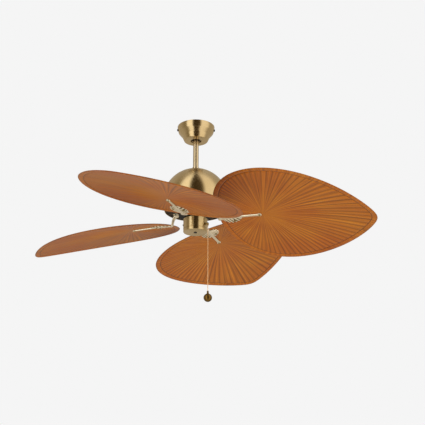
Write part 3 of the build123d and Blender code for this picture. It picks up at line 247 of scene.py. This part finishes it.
# One material for each slot of the record. plain_metal takes a name, colour, roughness, grain in mm, metallic
FINISHES = {
    # Visible brass, leaf and cord, as made above
    "spun_brass": BRASS,
    "brass_tube": ROD_BRASS,
    "knob_brass": KNOB_BRASS,
    "cast_brass": CAST,
    "leaf_resin": LEAF,
    "cotton_cord": CORD,
    # Turned and plated small parts and fasteners
    "turned_brass": plain_metal("turned_satin_brass", "a88c54", 0.32, 1.5),
    "brass_screw": plain_metal("plated_brass_screw", "a8935f", 0.35, 1.0),
    "dark_screw": plain_metal("black_oxide_screw", "2c241c", 0.4, 1.0),
    "green_screw": plain_metal("green_passivated_screw", "2f7a45", 0.4, 1.0, 0.6),
    "zinc_steel": plain_metal("zinc_plated_steel", "b9bcbe", 0.35, 2.0),
    # Painted and coated metal: no bare metal shows, so metallic is 0
    "dark_plate": plain_metal("dark_bronze_paint", "3a2a1a", 0.55, 1.2, 0.0, Specular__IOR__Level=0.25),
    "black_casting": plain_metal("black_e_coat", "0e0d0d", 0.5, 1.0, 0.0, Specular__IOR__Level=0.15),
    "black_aluminium": plain_metal("black_satin_coat", "0e0d0d", 0.5, 1.0, 0.0, Specular__IOR__Level=0.15),
    # Motor: castings, laminations, winding and ground bearing rings
    "cast_aluminium": plain_metal("as_cast_aluminium", "a9abac", 0.5, 1.2),
    "laminated_steel": plain_metal("varnished_laminations", "56565a", 0.45, 0.6),
    "copper_wire": plain_metal("enamelled_copper", "a8562c", 0.3, 0.8),
    "bearing_steel": plain_metal("ground_bearing_steel", "c4c4c6", 0.18, 0.6),
    # Moulded and extruded plastics
    "moulded_nylon": plain_metal("moulded_nylon", "d8d3c4", 0.5, 0.8, 0.0),
    "black_plastic": plain_metal("moulded_black_abs", "121212", 0.4, 0.8, 0.0),
    "capacitor_case": plain_metal("glossy_capacitor_case", "1a1a1c", 0.25, 0.8, 0.0),
    "lead_jacket": plain_metal("pvc_lead_jacket", "1c1c1e", 0.5, 0.6, 0.0),
}
for part in record["subparts"]:
    node_object = frame["nodes"][part["node"]]
    node_object.data.materials.clear()
    node_object.data.materials.append(FINISHES[part["material_slot"]])


# ---------------------------------------------------------------- mesh helpers
def grid_faces(rows, columns, wrap_rows):
    """Corner indices of the quads of a grid whose columns wrap, and whose rows do where asked."""
    i = np.arange(rows if wrap_rows else rows - 1)
    j = np.arange(columns)
    i, j = np.meshgrid(i, j, indexing="ij")
    i2, j2 = (i + 1) % rows, (j + 1) % columns
    corners = [i * columns + j, i * columns + j2, i2 * columns + j2, i2 * columns + j]
    return np.stack(corners, -1).reshape(-1, 4), i, j


def build(name, surfaces, material, body, replaced, uv_name="along", sharp=32.0):
    """One piece from closed grids. Each is (points, wrap_rows, {attribute: values}); columns always wrap."""
    points, faces, uvs, notes = [], [], [], {}
    start = 0
    for surface, wrap_rows, marks in surfaces:
        rows, columns = surface.shape[:2]
        quads, i, j = grid_faces(rows, columns, wrap_rows)
        points.append(surface.reshape(-1, 3))
        faces.append(quads + start)
        corner_u = np.stack([j, j + 1, j + 1, j], -1) / columns
        corner_v = np.stack([i, i, i + 1, i + 1], -1) / rows
        uvs.append(np.stack([corner_u, corner_v], -1).reshape(-1, 2))
        for key in ("relief", "rim"):
            spread = np.broadcast_to(marks.get(key, 0.6), (rows, columns))
            notes.setdefault(key, []).append(spread.reshape(-1))
        start += rows * columns
    points = np.concatenate(points)
    faces = np.concatenate(faces)
    mesh = bpy.data.meshes.new(name)
    mesh.vertices.add(len(points))
    mesh.vertices.foreach_set("co", points.astype(np.float32).ravel())
    mesh.loops.add(faces.size)
    mesh.loops.foreach_set("vertex_index", faces.astype(np.int32).ravel())
    mesh.polygons.add(len(faces))
    mesh.polygons.foreach_set("loop_start", np.arange(0, faces.size, 4, dtype=np.int32))
    mesh.update(calc_edges=True)
    layer = mesh.uv_layers.new(name=uv_name)
    layer.data.foreach_set("uv", np.concatenate(uvs).astype(np.float32).ravel())
    for key, values in notes.items():
        mark = mesh.attributes.new(key, "FLOAT", "POINT")
        mark.data.foreach_set("value", np.concatenate(values).astype(np.float32))
    work = bmesh.new()
    work.from_mesh(mesh)
    bmesh.ops.remove_doubles(work, verts=work.verts, dist=1e-6)
    bmesh.ops.recalc_face_normals(work, faces=work.faces)
    work.to_mesh(mesh)
    work.free()
    mesh.shade_smooth()
    mesh.set_sharp_from_angle(angle=math.radians(sharp))
    mesh.materials.append(material)
    piece = bpy.data.objects.new(name, mesh)
    bpy.context.collection.objects.link(piece)
    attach(piece, body)
    if replaced:
        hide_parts(*replaced)
    return piece


def rounded(corners, steps=8):
    """Closed outline whose corners (x, z, radius) are cut by arcs of that radius."""
    spots = np.array([corner[:2] for corner in corners], float)
    radii = [corner[2] for corner in corners]
    outline = []
    for index, spot in enumerate(spots):
        before = spots[index - 1] - spot
        after = spots[(index + 1) % len(spots)] - spot
        if radii[index] == 0:
            outline.append(spot[None])
            continue
        a = before / np.linalg.norm(before)
        b = after / np.linalg.norm(after)
        half = math.acos(np.clip(a @ b, -1, 1)) / 2
        room = 0.48 * min(np.linalg.norm(before), np.linalg.norm(after))
        reach = min(radii[index] / math.tan(half), room)
        radius = reach * math.tan(half)
        middle = spot + (a + b) / np.linalg.norm(a + b) * radius / math.sin(half)
        first = spot + a * reach - middle
        last = spot + b * reach - middle
        turn = math.atan2(first[0] * last[1] - first[1] * last[0], first @ last)
        angles = np.linspace(0, turn, steps)[:, None]
        side = np.array([-first[1], first[0]])
        outline.append(middle + np.cos(angles) * first + np.sin(angles) * side)
    return np.concatenate(outline)


def lathe(outline, centre=(0.0, 0.0), segments=160):
    """Surface of revolution: the outline (radius, height) carried round a vertical axis."""
    angle = np.arange(segments) / segments * 2 * np.pi
    radius = outline[:, 0][:, None]
    x = centre[0] + radius * np.cos(angle)
    y = centre[1] + radius * np.sin(angle)
    z = np.repeat(outline[:, 1][:, None], segments, axis=1)
    return np.stack([x, y, z], -1)


def ring_outline(inner_r, outer_r, low_z, high_z, round_r):
    """Rounded rectangle for a turned ring."""
    return rounded([(inner_r, low_z, round_r), (outer_r, low_z, round_r),
                    (outer_r, high_z, round_r), (inner_r, high_z, round_r)])


def sweep(centres, side, up, half_w, half_h, power=1.0, columns=24):
    """Closed bar: a superellipse of half-sizes (w, h) carried along the centres, ends drawn to a point.

    A point at angle a stands at centre + side w sgn(cos a)|cos a|^p + up h sgn(sin a)|sin a|^p.
    """
    angle = np.arange(columns) / columns * 2 * np.pi
    c = np.sign(np.cos(angle)) * np.abs(np.cos(angle)) ** power
    s = np.sign(np.sin(angle)) * np.abs(np.sin(angle)) ** power
    w = np.asarray(half_w, float)[:, None, None] * c[None, :, None]
    h = np.asarray(half_h, float)[:, None, None] * s[None, :, None]
    rows = centres[:, None, :] + side[:, None, :] * w + up[:, None, :] * h
    ends = [np.repeat(centres[k][None, None], columns, axis=1) for k in (0, -1)]
    return np.concatenate([ends[0], rows, ends[1]])


def moved(points, matrix, shift):
    """Points turned by a matrix and then shifted."""
    return points @ np.asarray(matrix).T + np.asarray(shift)


def turn_z(angle):
    """Rotation matrix about the fan's axis."""
    c, s = math.cos(angle), math.sin(angle)
    return np.array([[c, -s, 0], [s, c, 0], [0, 0, 1]])


# ---------------------------------------------------------------- places read from the frame
def low_high(node):
    """Corners of a CAD node as numpy arrays."""
    low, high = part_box(node)
    return np.array(low), np.array(high)


canopy_low, canopy_high = low_high("canopy")
rod_low, rod_high = low_high("downrod")
cover_low, cover_high = low_high("motor_cover")
shell_low, shell_high = low_high("switch_housing")
plate_top = low_high("housing_plate")[1][2]
cap_bottom = low_high("bottom_cap")[0][2]
fly_bottom = low_high("flywheel")[0][2]
cord_low, cord_high = low_high("pull_cord")
knob_low, knob_high = low_high("pull_knob")


# ---------------------------------------------------------------- pull cord
CORD_DIAMETER = cord_high[0] - cord_low[0]
cord_x, cord_y = (cord_low[:2] + cord_high[:2]) / 2
cord_route = [(cord_x, cord_y, cord_high[2]), (cord_x, cord_y, (cord_low[2] + cord_high[2]) / 2),
              (cord_x, cord_y, cord_low[2])]
cord_curve = bpy.data.curves.new("pull_cord_line", "CURVE")
cord_curve.dimensions = "3D"
cord_spline = cord_curve.splines.new("NURBS")
cord_spline.points.add(len(cord_route) - 1)
for point, place in zip(cord_spline.points, cord_route):
    point.co = (*place, 1.0)
cord_spline.order_u = 3
cord_spline.use_endpoint_u = True
cord_curve.bevel_depth = CORD_DIAMETER / 2
cord_curve.bevel_resolution = 5
cord_curve.use_fill_caps = True
cord_curve.materials.append(CORD)
cord = bpy.data.objects.new("pull_cord_twisted", cord_curve)
bpy.context.collection.objects.link(cord)
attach(cord, "pull")
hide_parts("pull_cord")

# Knob: a ball with a short collared neck, a shallow groove above and below its waist
KNOB_R = (knob_high[0] - knob_low[0]) / 2
knob_z = knob_low[2] + KNOB_R
NECK_R = 4.0 * MM
KNOB_GROOVE_DEPTH = 0.35 * MM
KNOB_GROOVE_AT = 62.0
KNOB_GROOVE_SPREAD = 3.0
latitude = np.linspace(-math.pi / 2, math.asin(math.sqrt(1 - (NECK_R / KNOB_R) ** 2)), 60)
off_groove = [(np.degrees(latitude) - hand * KNOB_GROOVE_AT) / KNOB_GROOVE_SPREAD for hand in (1, -1)]
groove = KNOB_GROOVE_DEPTH * (np.exp(-off_groove[0] ** 2) + np.exp(-off_groove[1] ** 2))
ball_r = KNOB_R - groove
ball_line = np.stack([ball_r * np.cos(latitude), knob_z + ball_r * np.sin(latitude)], -1)
neck_top = knob_high[2]
neck_line = np.array([
    (NECK_R, neck_top - 6.0 * MM), (NECK_R * 0.8, neck_top - 5.4 * MM),
    (NECK_R * 0.8, neck_top - 2.6 * MM), (NECK_R * 0.95, neck_top - 2.2 * MM),
    (NECK_R * 0.95, neck_top - 0.8 * MM), (NECK_R * 0.6, neck_top), (0.0, neck_top)])
ball_line[0, 0] = 0.0
knob_surface = lathe(np.concatenate([ball_line, neck_line]), (cord_x, cord_y), 72)
knob = build("pull_knob_turned", [(knob_surface, False, {})], KNOB_BRASS, "pull", ["pull_knob"])


# ---------------------------------------------------------------- turned brass pieces
CANOPY_WALL = 1.2 * MM
CANOPY_HOLE_R = 21.0 * MM
CANOPY_LIP = 7.0 * MM
CANOPY_EDGE = 0.4 * MM
SHOULDER_ROUND = 8.0 * MM
WAIST_ROUND = 16.0 * MM
rim_r = canopy_high[0]
depth = canopy_high[2] - canopy_low[2]
canopy_line = rounded([
    # Outside: rim, shoulder, waist, foot
    (rim_r, 0.0, 0.6 * MM), (rim_r - 0.3 * MM, -CANOPY_LIP, CANOPY_EDGE),
    (67.0 * MM, -23.0 * MM, SHOULDER_ROUND), (53.5 * MM, -39.5 * MM, WAIST_ROUND),
    (45.0 * MM, -depth, 5.0 * MM),
    # Hole for the rod, then back up the inside
    (CANOPY_HOLE_R, -depth, CANOPY_EDGE), (CANOPY_HOLE_R, -depth + CANOPY_WALL, CANOPY_EDGE),
    (44.2 * MM, -depth + CANOPY_WALL, 4.0 * MM), (52.4 * MM, -39.0 * MM, WAIST_ROUND),
    (65.6 * MM, -22.6 * MM, SHOULDER_ROUND), (rim_r - CANOPY_WALL, -CANOPY_LIP, CANOPY_EDGE),
    (rim_r - CANOPY_WALL, 0.0, CANOPY_EDGE)])
build("canopy_spun", [(lathe(canopy_line), True, {})], BRASS, "mount", ["canopy"])

ROD_WALL = 2.0 * MM
rod_r = rod_high[0]
rod_line = ring_outline(rod_r - ROD_WALL, rod_r, rod_low[2], rod_high[2], 0.4 * MM)
build("downrod_drawn", [(lathe(rod_line, segments=72), True, {})], ROD_BRASS, "hanger",
      ["downrod"])

COVER_R = cover_high[0]
COVER_WALL = 1.5 * MM
COVER_HOLE_R = 14.55 * MM
rim_z = cover_low[2]
cover_top = cover_high[2]
cover_z = cover_top - math.sqrt(COVER_R ** 2 - COVER_HOLE_R ** 2)
cover_rim_r = math.sqrt(COVER_R ** 2 - (cover_z - rim_z) ** 2)
outer_turn = np.linspace(math.acos(COVER_HOLE_R / COVER_R),
                         -math.asin((cover_z - rim_z) / COVER_R), 90)
outer_line = np.stack([COVER_R * np.cos(outer_turn), cover_z + COVER_R * np.sin(outer_turn)], -1)
inner_r = COVER_R - COVER_WALL
inner_turn = np.linspace(-math.asin((cover_z - rim_z) / inner_r),
                         math.acos(COVER_HOLE_R / inner_r), 60)
inner_line = np.stack([inner_r * np.cos(inner_turn), cover_z + inner_r * np.sin(inner_turn)], -1)
# The rim is turned over into a small bead
bead = np.array([(cover_rim_r + 0.2 * MM, rim_z), (cover_rim_r - 0.8 * MM, rim_z - 0.3 * MM)])
cover_line = np.concatenate([outer_line[:-1], bead, inner_line])
build("motor_cover_spun", [(lathe(cover_line, segments=220), True, {})], BRASS, "hanger",
      ["motor_cover"])

PLATE_HOLE_R = 9.0 * MM
PLATE_FLAT_R = 37.0 * MM
PLATE_INSIDE_R = 36.0 * MM
PLATE_T = 2.0 * MM
PLATE_EDGE_W = 2.5 * MM
CAP_LIP_TOP = 5.0 * MM
CAP_LIP_OUT = 1.6 * MM
CAP_LIP_IN = 3.0 * MM
CAP_T = 1.5 * MM
SEAM = 0.8 * MM
shell_r, shell_top, shell_bottom = shell_high[0], shell_high[2], shell_low[2]
plate_line = rounded([
    (PLATE_HOLE_R, plate_top, 0.2 * MM), (PLATE_FLAT_R, plate_top, 3.0 * MM),
    (shell_r, shell_top + 0.2 * MM, 6.0 * MM), (shell_r, shell_top, 0.1 * MM),
    (shell_r - PLATE_EDGE_W, shell_top, 0.1 * MM), (PLATE_INSIDE_R, plate_top - PLATE_T, 1.0 * MM),
    (PLATE_HOLE_R, plate_top - PLATE_T, 0.2 * MM)])
cap_line = rounded([
    (0.0, cap_bottom, 0.0), (shell_r - 0.2 * MM, cap_bottom, 3.2 * MM),
    (shell_r, shell_bottom - 2.0 * MM, 1.0 * MM), (shell_r, shell_bottom - SEAM, 0.5 * MM),
    (shell_r - 1.2 * MM, shell_bottom - SEAM, 0.1 * MM),
    (shell_r - CAP_LIP_OUT, shell_bottom + CAP_LIP_TOP, 0.2 * MM),
    (shell_r - CAP_LIP_IN, shell_bottom + CAP_LIP_TOP, 0.2 * MM),
    (shell_r - CAP_LIP_IN, cap_bottom + CAP_T, 1.0 * MM), (0.0, cap_bottom + CAP_T, 0.0)])
build("housing_shoulder_spun", [(lathe(plate_line), True, {})], BRASS, "hanger",
      ["housing_plate"])
build("bottom_cap_spun", [(lathe(cap_line), False, {})], BRASS, "hanger", ["bottom_cap"])


# ---------------------------------------------------------------- leaves
LEAF_T = 3.6 * MM
LEAF_DATUM_R = 415.0 * MM
LEAF_BASE_R = 97.0 * MM
LEAF_LENGTH = 584.0 * MM
LEAF_HALF_WIDTH = 288.0 * MM
LEAF_DATUM_Z = rim_z - 56.8 * MM
LEAF_PITCH = math.radians(14.85)
LEAF_DROOP = math.radians(7.2)
LEAF_POWERS = (0.44, 0.77)
DOME_ALONG_R = 2000.0 * MM
DOME_ACROSS_R = 3600.0 * MM
REST_PHASE = math.radians(-21.6)
RIB_COUNT = 84
RIB_SAMPLES = 6
FAN_CENTRE_R = 262.0 * MM
BAND = 17.0 * MM
BAND_RISE = 1.1 * MM
GROOVE_W = 3.8 * MM
GROOVE_DEPTH = 1.3 * MM
PLEAT_DEPTH = 1.3 * MM
TIP_ROUND = 110.0 * MM


def dome(along, across, height):
    """Point at a height above the leaf's middle surface, which is part of a large ring surface."""
    lift = np.sqrt((DOME_ACROSS_R + height) ** 2 - across ** 2) - DOME_ACROSS_R
    arm = DOME_ALONG_R + lift
    rise = np.sqrt(arm ** 2 - along ** 2) - DOME_ALONG_R
    return np.stack([along, across, rise], -1)


def to_fan(points, azimuth):
    """Leaf coordinates to the fan's: pitch about the leaf's length, droop, move out, turn."""
    cp, sp = math.cos(-LEAF_PITCH), math.sin(-LEAF_PITCH)
    cd, sd = math.cos(LEAF_DROOP), math.sin(LEAF_DROOP)
    pitch = np.array([[1, 0, 0], [0, cp, -sp], [0, sp, cp]])
    droop = np.array([[cd, 0, sd], [0, 1, 0], [-sd, 0, cd]])
    placed = moved(points, droop @ pitch, (LEAF_DATUM_R, 0, LEAF_DATUM_Z))
    return placed @ turn_z(azimuth).T


def outline_at(t):
    """Outline point for t from -1 (tip, near side) through 0 (base) to 1 (tip, far side).

    Half-width = W (s/m)^a ((1-s)/(1-m))^b at the station s = (1 - cos(pi t)) / 2.
    """
    a, b = LEAF_POWERS
    widest = a / (a + b)
    s = (1 - np.cos(np.pi * t)) / 2
    width = LEAF_HALF_WIDTH * (s / widest) ** a * ((1 - s) / (1 - widest)) ** b * np.sign(t)
    return np.stack([LEAF_BASE_R - LEAF_DATUM_R + LEAF_LENGTH * s, width], -1)


def soften(outline, count=6000):
    """Outline with its tip rounded: a running mean over TIP_ROUND of its length."""
    step = np.linalg.norm(np.diff(outline, axis=0), axis=1)
    run = np.concatenate([[0], np.cumsum(step)])
    even = np.linspace(0, run[-1], count, endpoint=False)
    spots = np.stack([np.interp(even, run, outline[:, k]) for k in (0, 1)], -1)
    reach = int(TIP_ROUND / run[-1] * count / 2)
    weight = np.hanning(2 * reach + 1)
    weight /= weight.sum()
    wrapped = np.concatenate([spots[-reach:], spots, spots[:reach]])
    return np.stack([np.convolve(wrapped[:, k], weight, "valid") for k in (0, 1)], -1)


def leaf_grid():
    """Closed leaf: columns are rays from the fan centre, rows run out over the top and back below."""
    columns = RIB_COUNT * RIB_SAMPLES
    fine = soften(outline_at(np.linspace(-1, 1, 12001)))
    hub = np.array([FAN_CENTRE_R - LEAF_DATUM_R, 0.0])
    ray = np.arctan2((fine - hub)[:, 1], (fine - hub)[:, 0])
    order = np.argsort(ray)
    angle = (np.arange(columns) + 0.5) / columns * 2 * np.pi - np.pi
    edge = np.stack([np.interp(angle, ray[order], fine[order, k], period=2 * np.pi) for k in (0, 1)], -1)
    along_edge = np.roll(edge, -2, axis=0) - np.roll(edge, 2, axis=0)
    normal = np.stack([along_edge[:, 1], -along_edge[:, 0]], -1)
    for _ in range(4):
        normal = np.roll(normal, 1, axis=0) + 2 * normal + np.roll(normal, -1, axis=0)
    normal /= np.linalg.norm(normal, axis=1)[:, None]
    # Stations from the fan centre to the groove, across the groove, then over the rim band to the edge
    inner = edge - normal * (BAND + GROOVE_W)
    spread = np.linspace(0, 1, 30) ** 0.8
    field = hub + (inner - hub)[None] * spread[:, None, None]
    insets = np.array([0.75, 0.5, 0.25, 0.0]) * GROOVE_W + BAND
    insets = np.concatenate([insets, BAND * np.array([0.97, 0.85, 0.6, 0.35, 0.15, 0.06])])
    band = edge[None] - normal[None] * insets[:, None, None]
    flat = np.concatenate([field, band])
    inset = np.concatenate([np.full(len(spread), BAND + GROOVE_W), insets])
    ratio = np.concatenate([spread, np.ones(len(insets))])

    # Pleats: a triangle wave round the fan, each rib a little uneven, growing outward from the centre
    phase = (np.arange(columns) / RIB_SAMPLES) % 1.0
    pleat = 1 - np.abs(2 * phase - 1)
    rib = np.floor(np.arange(columns) / RIB_SAMPLES)
    uneven = 0.75 + 0.25 * np.sin(rib * 12.9898) * np.cos(rib * 4.1)
    grow = np.clip(ratio / 0.35, 0, 1) ** 1.3 * np.where(inset > BAND + GROOVE_W * 0.9, 1.0, 0.0)
    relief = PLEAT_DEPTH * (pleat - 0.5)[None] * uneven[None] * grow[:, None]
    in_groove = np.clip(1 - np.abs(inset - BAND - GROOVE_W / 2) / (GROOVE_W / 2), 0, 1)
    on_band = np.clip((BAND - inset) / (0.1 * BAND), 0, 1) * np.clip(inset / (0.25 * BAND), 0, 1) ** 0.5
    relief = relief + (BAND_RISE * on_band - GROOVE_DEPTH * in_groove)[:, None]
    half = LEAF_T / 2 * np.clip(inset / (0.12 * BAND), 0.35, 1)[:, None] - 0.6 * MM
    top = dome(flat[..., 0], flat[..., 1], half + relief * 0.8)
    below = dome(flat[..., 0], flat[..., 1], -half - relief)
    rim_point = dome(edge[:, 0], edge[:, 1], np.zeros(columns))[None]
    in_field = (inset > BAND + GROOVE_W * 0.9)[:, None]
    # Pleat tone mark: painted shade in the pleat floors, painted highlight on the crests
    tone = np.where(in_field, 0.5 + (pleat - 0.5)[None] * grow[:, None], 0.55)
    at_edge = np.clip(1 - inset / (0.3 * BAND), 0, 1)
    # Groove mark: painted shade in the groove, darker edging towards the outer edge
    edge_line_and_groove_shade = np.clip(in_groove + 0.45 * at_edge, 0, 1)[:, None] + 0 * tone
    surface = np.concatenate([top, rim_point, below[::-1]])
    mark = {"relief": np.concatenate([tone, tone[:1] * 0 + 0.5, tone[::-1]]),
            "rim": np.concatenate([edge_line_and_groove_shade, edge_line_and_groove_shade[:1] * 0 + 0.5, edge_line_and_groove_shade[::-1]])}
    return surface, mark


leaf_points, leaf_marks = leaf_grid()
for number in range(4):
    turned_leaf = to_fan(leaf_points, REST_PHASE + number * math.pi / 2)
    leaf = build(f"leaf_{number + 1}", [(turned_leaf, False, leaf_marks)], LEAF, "rotor",
                 [f"blade_{number + 1}"], uv_name="leaf", sharp=60.0)
    leaf.visible_glossy = False


# ---------------------------------------------------------------- blade irons
UNDERSIDE = -LEAF_T / 2
FLANGE_R = 84.0 * MM
FOOT_TOP = fly_bottom + 12.6 * MM
FOOT_T = 4.0 * MM
BARREL_R = 62.0 * MM
FINGER_END_R = 250.0 * MM
FINGER_HALF_T = 2.2 * MM
PAD_R = 7.6 * MM
PAD_STEPS = 16
FOOT_STEPS = 14


def curve_through(points, count):
    """Smooth curve through a few points: Catmull-Rom, sampled evenly in its parameter."""
    knots = np.asarray(points, float)
    padded = np.concatenate([[2 * knots[0] - knots[1]], knots, [2 * knots[-1] - knots[-2]]])
    place = np.linspace(0, len(knots) - 1 - 1e-9, count)
    index = place.astype(int)
    t = (place - index)[:, None]
    a, b, c, d = (padded[index + k] for k in range(4))
    square, cube = 2 * a - 5 * b + 4 * c - d, 3 * b - a - 3 * c + d
    return 0.5 * (2 * b + (c - a) * t + square * t ** 2 + cube * t ** 3)


def iron_surfaces(azimuth):
    """Foot, S-shaped arm running out into the finger, its end pad and two ribbed wings."""
    count = 60
    under_r = np.array([100, 112, 130, 175, 215, 250.0]) * MM
    under = to_fan(dome(under_r - LEAF_DATUM_R, np.zeros(6), np.full(6, UNDERSIDE - FINGER_HALF_T)), 0.0)
    foot_z = FOOT_TOP - FOOT_T
    start = np.array([[70 * MM, 0, foot_z + 1.5 * MM], [80 * MM, 0, foot_z - 2.5 * MM],
                      [88 * MM, 0, foot_z - 13 * MM], [93 * MM, 0, under[0][2] + 3 * MM]])
    spine = curve_through(np.concatenate([start, under]), count)
    ahead = np.gradient(spine, axis=0)
    ahead /= np.linalg.norm(ahead, axis=1)[:, None]
    share = np.linspace(0, 1, count)
    tilt = np.clip((share - 0.15) / 0.2, 0, 1)[:, None] * -LEAF_PITCH
    side = np.concatenate([0 * tilt, np.cos(tilt), np.sin(tilt)], 1)
    up = np.cross(ahead, side)
    half_w = np.interp(share, [0, 0.12, 0.3, 0.42, 0.55, 0.8, 0.94, 1.0],
                       [13, 11, 8.5, 10, 7.5, 5.0, 4.6, 6.0]) * MM
    half_h = np.interp(share, [0, 0.1, 0.35, 0.6, 1.0], [2.5, 3.6, 3.4, 2.6, 2.2]) * MM
    arm = sweep(spine, side, up, half_w, half_h, 0.8, 28)
    axis_y = np.tile([0, 1.0, 0], (PAD_STEPS, 1))
    axis_z = np.tile([0, 0, 1.0], (PAD_STEPS, 1))
    pad_steps = np.linspace(-1, 1, PAD_STEPS)
    pad_x = (FINGER_END_R - LEAF_DATUM_R) + pad_steps * PAD_R
    pad_line = dome(pad_x, 0 * pad_x, np.full(PAD_STEPS, UNDERSIDE - FINGER_HALF_T))
    pad_w = PAD_R * np.sqrt(np.clip(1 - pad_steps ** 2, 0.01, 1))
    pad = to_fan(sweep(pad_line, axis_y, axis_z, pad_w, np.full(PAD_STEPS, FINGER_HALF_T), 0.6, 28), 0.0)
    foot_x = np.linspace(BARREL_R + 0.8 * MM, FLANGE_R, FOOT_STEPS)
    foot_line = np.stack([foot_x, 0 * foot_x, np.full(FOOT_STEPS, foot_z + FOOT_T / 2)], -1)
    foot_share = np.linspace(0, 1, FOOT_STEPS)
    foot_w = np.interp(foot_share, [0, 0.08, 0.85, 1], [19.5, 21, 21, 18]) * MM
    foot_h = np.full(FOOT_STEPS, FOOT_T / 2)
    foot = sweep(foot_line, axis_y[:FOOT_STEPS], axis_z[:FOOT_STEPS], foot_w, foot_h, 0.25, 40)
    # The relief mark sets how bright the cast brass is painted: the arm lightest, then the pad, the foot
    # darkest
    surfaces = [(arm, False, {"relief": 0.8}), (pad, False, {"relief": 0.75}), (foot, False, {"relief": 0.6})]
    surfaces += [(wing, False, marks) for wing, marks in wings()]
    return [(points @ turn_z(azimuth).T, wrap, marks) for points, wrap, marks in surfaces]


def wings():
    """Two wings under the leaf. At a station s the wing reaches from the spine to its scalloped edge.

    Barbs: the underside stands out by |sin(pi n (s - lean q))| from the spine (q = 0) to the edge (q = 1).
    """
    made = []
    rows, across_count, barbs, lean = 64, 22, 5.5, 0.16
    s = np.linspace(0, 1, rows)
    reach = 35.0 * MM * np.sin(np.pi * np.clip(s, 0.0, 1.0) ** 0.85) ** 0.42
    reach = np.maximum(reach * (1 - 0.12 * np.abs(np.cos(np.pi * barbs * (s - lean)))), 2.0 * MM)
    q = np.concatenate([np.linspace(0.0, 1, across_count), np.linspace(1, 0.0, across_count)])
    low = np.concatenate([np.ones(across_count), np.zeros(across_count)])
    edge = np.sqrt(np.clip(1 - q ** 6, 0, 1))
    for hand in (-1, 1):
        along = (106 + 70 * s[:, None] + 6 * q[None]) * MM - LEAF_DATUM_R
        across = hand * (1.0 * MM + q[None] * reach[:, None])
        barb = np.abs(np.sin(np.pi * barbs * (s[:, None] - lean * q[None]))) ** 1.2
        taper = np.sin(np.pi * np.clip(s, 0.02, 0.98))[:, None] ** 0.25
        thick = (1.2 + 3.4 * barb) * MM * edge[None] * taper
        height = np.where(low[None] > 0, UNDERSIDE - thick, UNDERSIDE - 0.05 * MM)
        body = to_fan(dome(along, across, height), 0.0)
        ends = [np.broadcast_to(body[k].mean(axis=0), (1, *body[k].shape)) for k in (0, -1)]
        # Relief mark follows the barbs: painted shade in the gaps between them, painted highlight on their
        # crests
        mark = np.concatenate([barb[:1], barb, barb[-1:]])
        made.append((np.concatenate([ends[0], body, ends[1]]), {"relief": 0.15 + 0.85 * mark}))
    return made


for number in range(4):
    build(f"iron_{number + 1}", iron_surfaces(REST_PHASE + number * math.pi / 2), CAST, "rotor",
          [f"blade_iron_{number + 1}"], sharp=50.0)


# ---------------------------------------------------------------- studio
def area_light(name, place, target, size, power, colour="ffffff"):
    """Rectangular soft light aimed at a point."""
    data = bpy.data.lights.new(name, "AREA")
    data.shape = "RECTANGLE"
    data.size, data.size_y = size
    data.energy = power
    data.color = linear(colour)[:3]
    lamp = bpy.data.objects.new(name, data)
    lamp.location = place
    lamp.rotation_euler = (Vector(target) - Vector(place)).to_track_quat("-Z", "Y").to_euler()
    lamp.visible_glossy = False
    bpy.context.collection.objects.link(lamp)


middle = (0.0, 0.0, -0.35)
area_light("key_left", (-2.2, -2.6, 0.3), middle, (1.6, 2.2), 60, "fff8ee")
area_light("key_right", (2.6, -1.6, -0.6), middle, (1.4, 2.4), 46, "fff8ee")
area_light("fill_low", (0.0, -1.6, -2.3), middle, (2.6, 1.6), 26)

# The room: a pale backdrop for the camera and an even light; the metal mirrors two tall soft boxes
# either side of a dark gap where the camera stands. Azimuths are turns from the camera, as 0 to 1.
DIM_WALL = linear("c4bcae")
LEFT_BOX = (1.6, 1.55, 1.45, 1)
RIGHT_BOX = (1.3, 1.22, 1.1, 1)
world = bpy.data.worlds.new("studio")
bpy.context.scene.world = world
world.use_nodes = True
sky = world.node_tree
background = sky.nodes["Background"]
look = add(sky, "ShaderNodeTexCoord")
split_look = add(sky, "ShaderNodeSeparateXYZ", _0=(look, "Generated"))
toward = add(sky, "ShaderNodeMath", {"operation": "MULTIPLY"}, _0=(split_look, 1))
toward.inputs[1].default_value = -1.0
turn_angle = add(sky, "ShaderNodeMath", {"operation": "ARCTAN2"}, _0=(split_look, 0), _1=(toward, 0))
share = add(sky, "ShaderNodeMath", {"operation": "MULTIPLY_ADD"}, _0=(turn_angle, 0))
share.inputs[1].default_value = 0.5 / math.pi
share.inputs[2].default_value = 0.5
mirror = ramp(sky, (share, 0), [
    (0.00, DIM_WALL), (0.20, DIM_WALL), (0.29, linear("9c9078")), (0.325, linear("a89c80")),
    (0.35, LEFT_BOX), (0.43, LEFT_BOX), (0.45, linear("5e5038")), (0.475, linear("453822")),
    (0.56, linear("544530")), (0.575, linear("8a7a5c")), (0.60, RIGHT_BOX), (0.71, RIGHT_BOX),
    (0.76, DIM_WALL), (1.00, DIM_WALL)])
ray = add(sky, "ShaderNodeLightPath")
shine = add(sky, "ShaderNodeMix", {"data_type": "RGBA"}, _0=(ray, "Is Glossy Ray"), _7=(mirror, 0))
shine.inputs[6].default_value = linear("cfcfcf")
seen = add(sky, "ShaderNodeMix", {"data_type": "RGBA"}, _0=(ray, "Is Camera Ray"), _6=(shine, 2))
seen.inputs[7].default_value = linear("f5f5f5")
sky.links.new(seen.outputs[2], background.inputs["Color"])
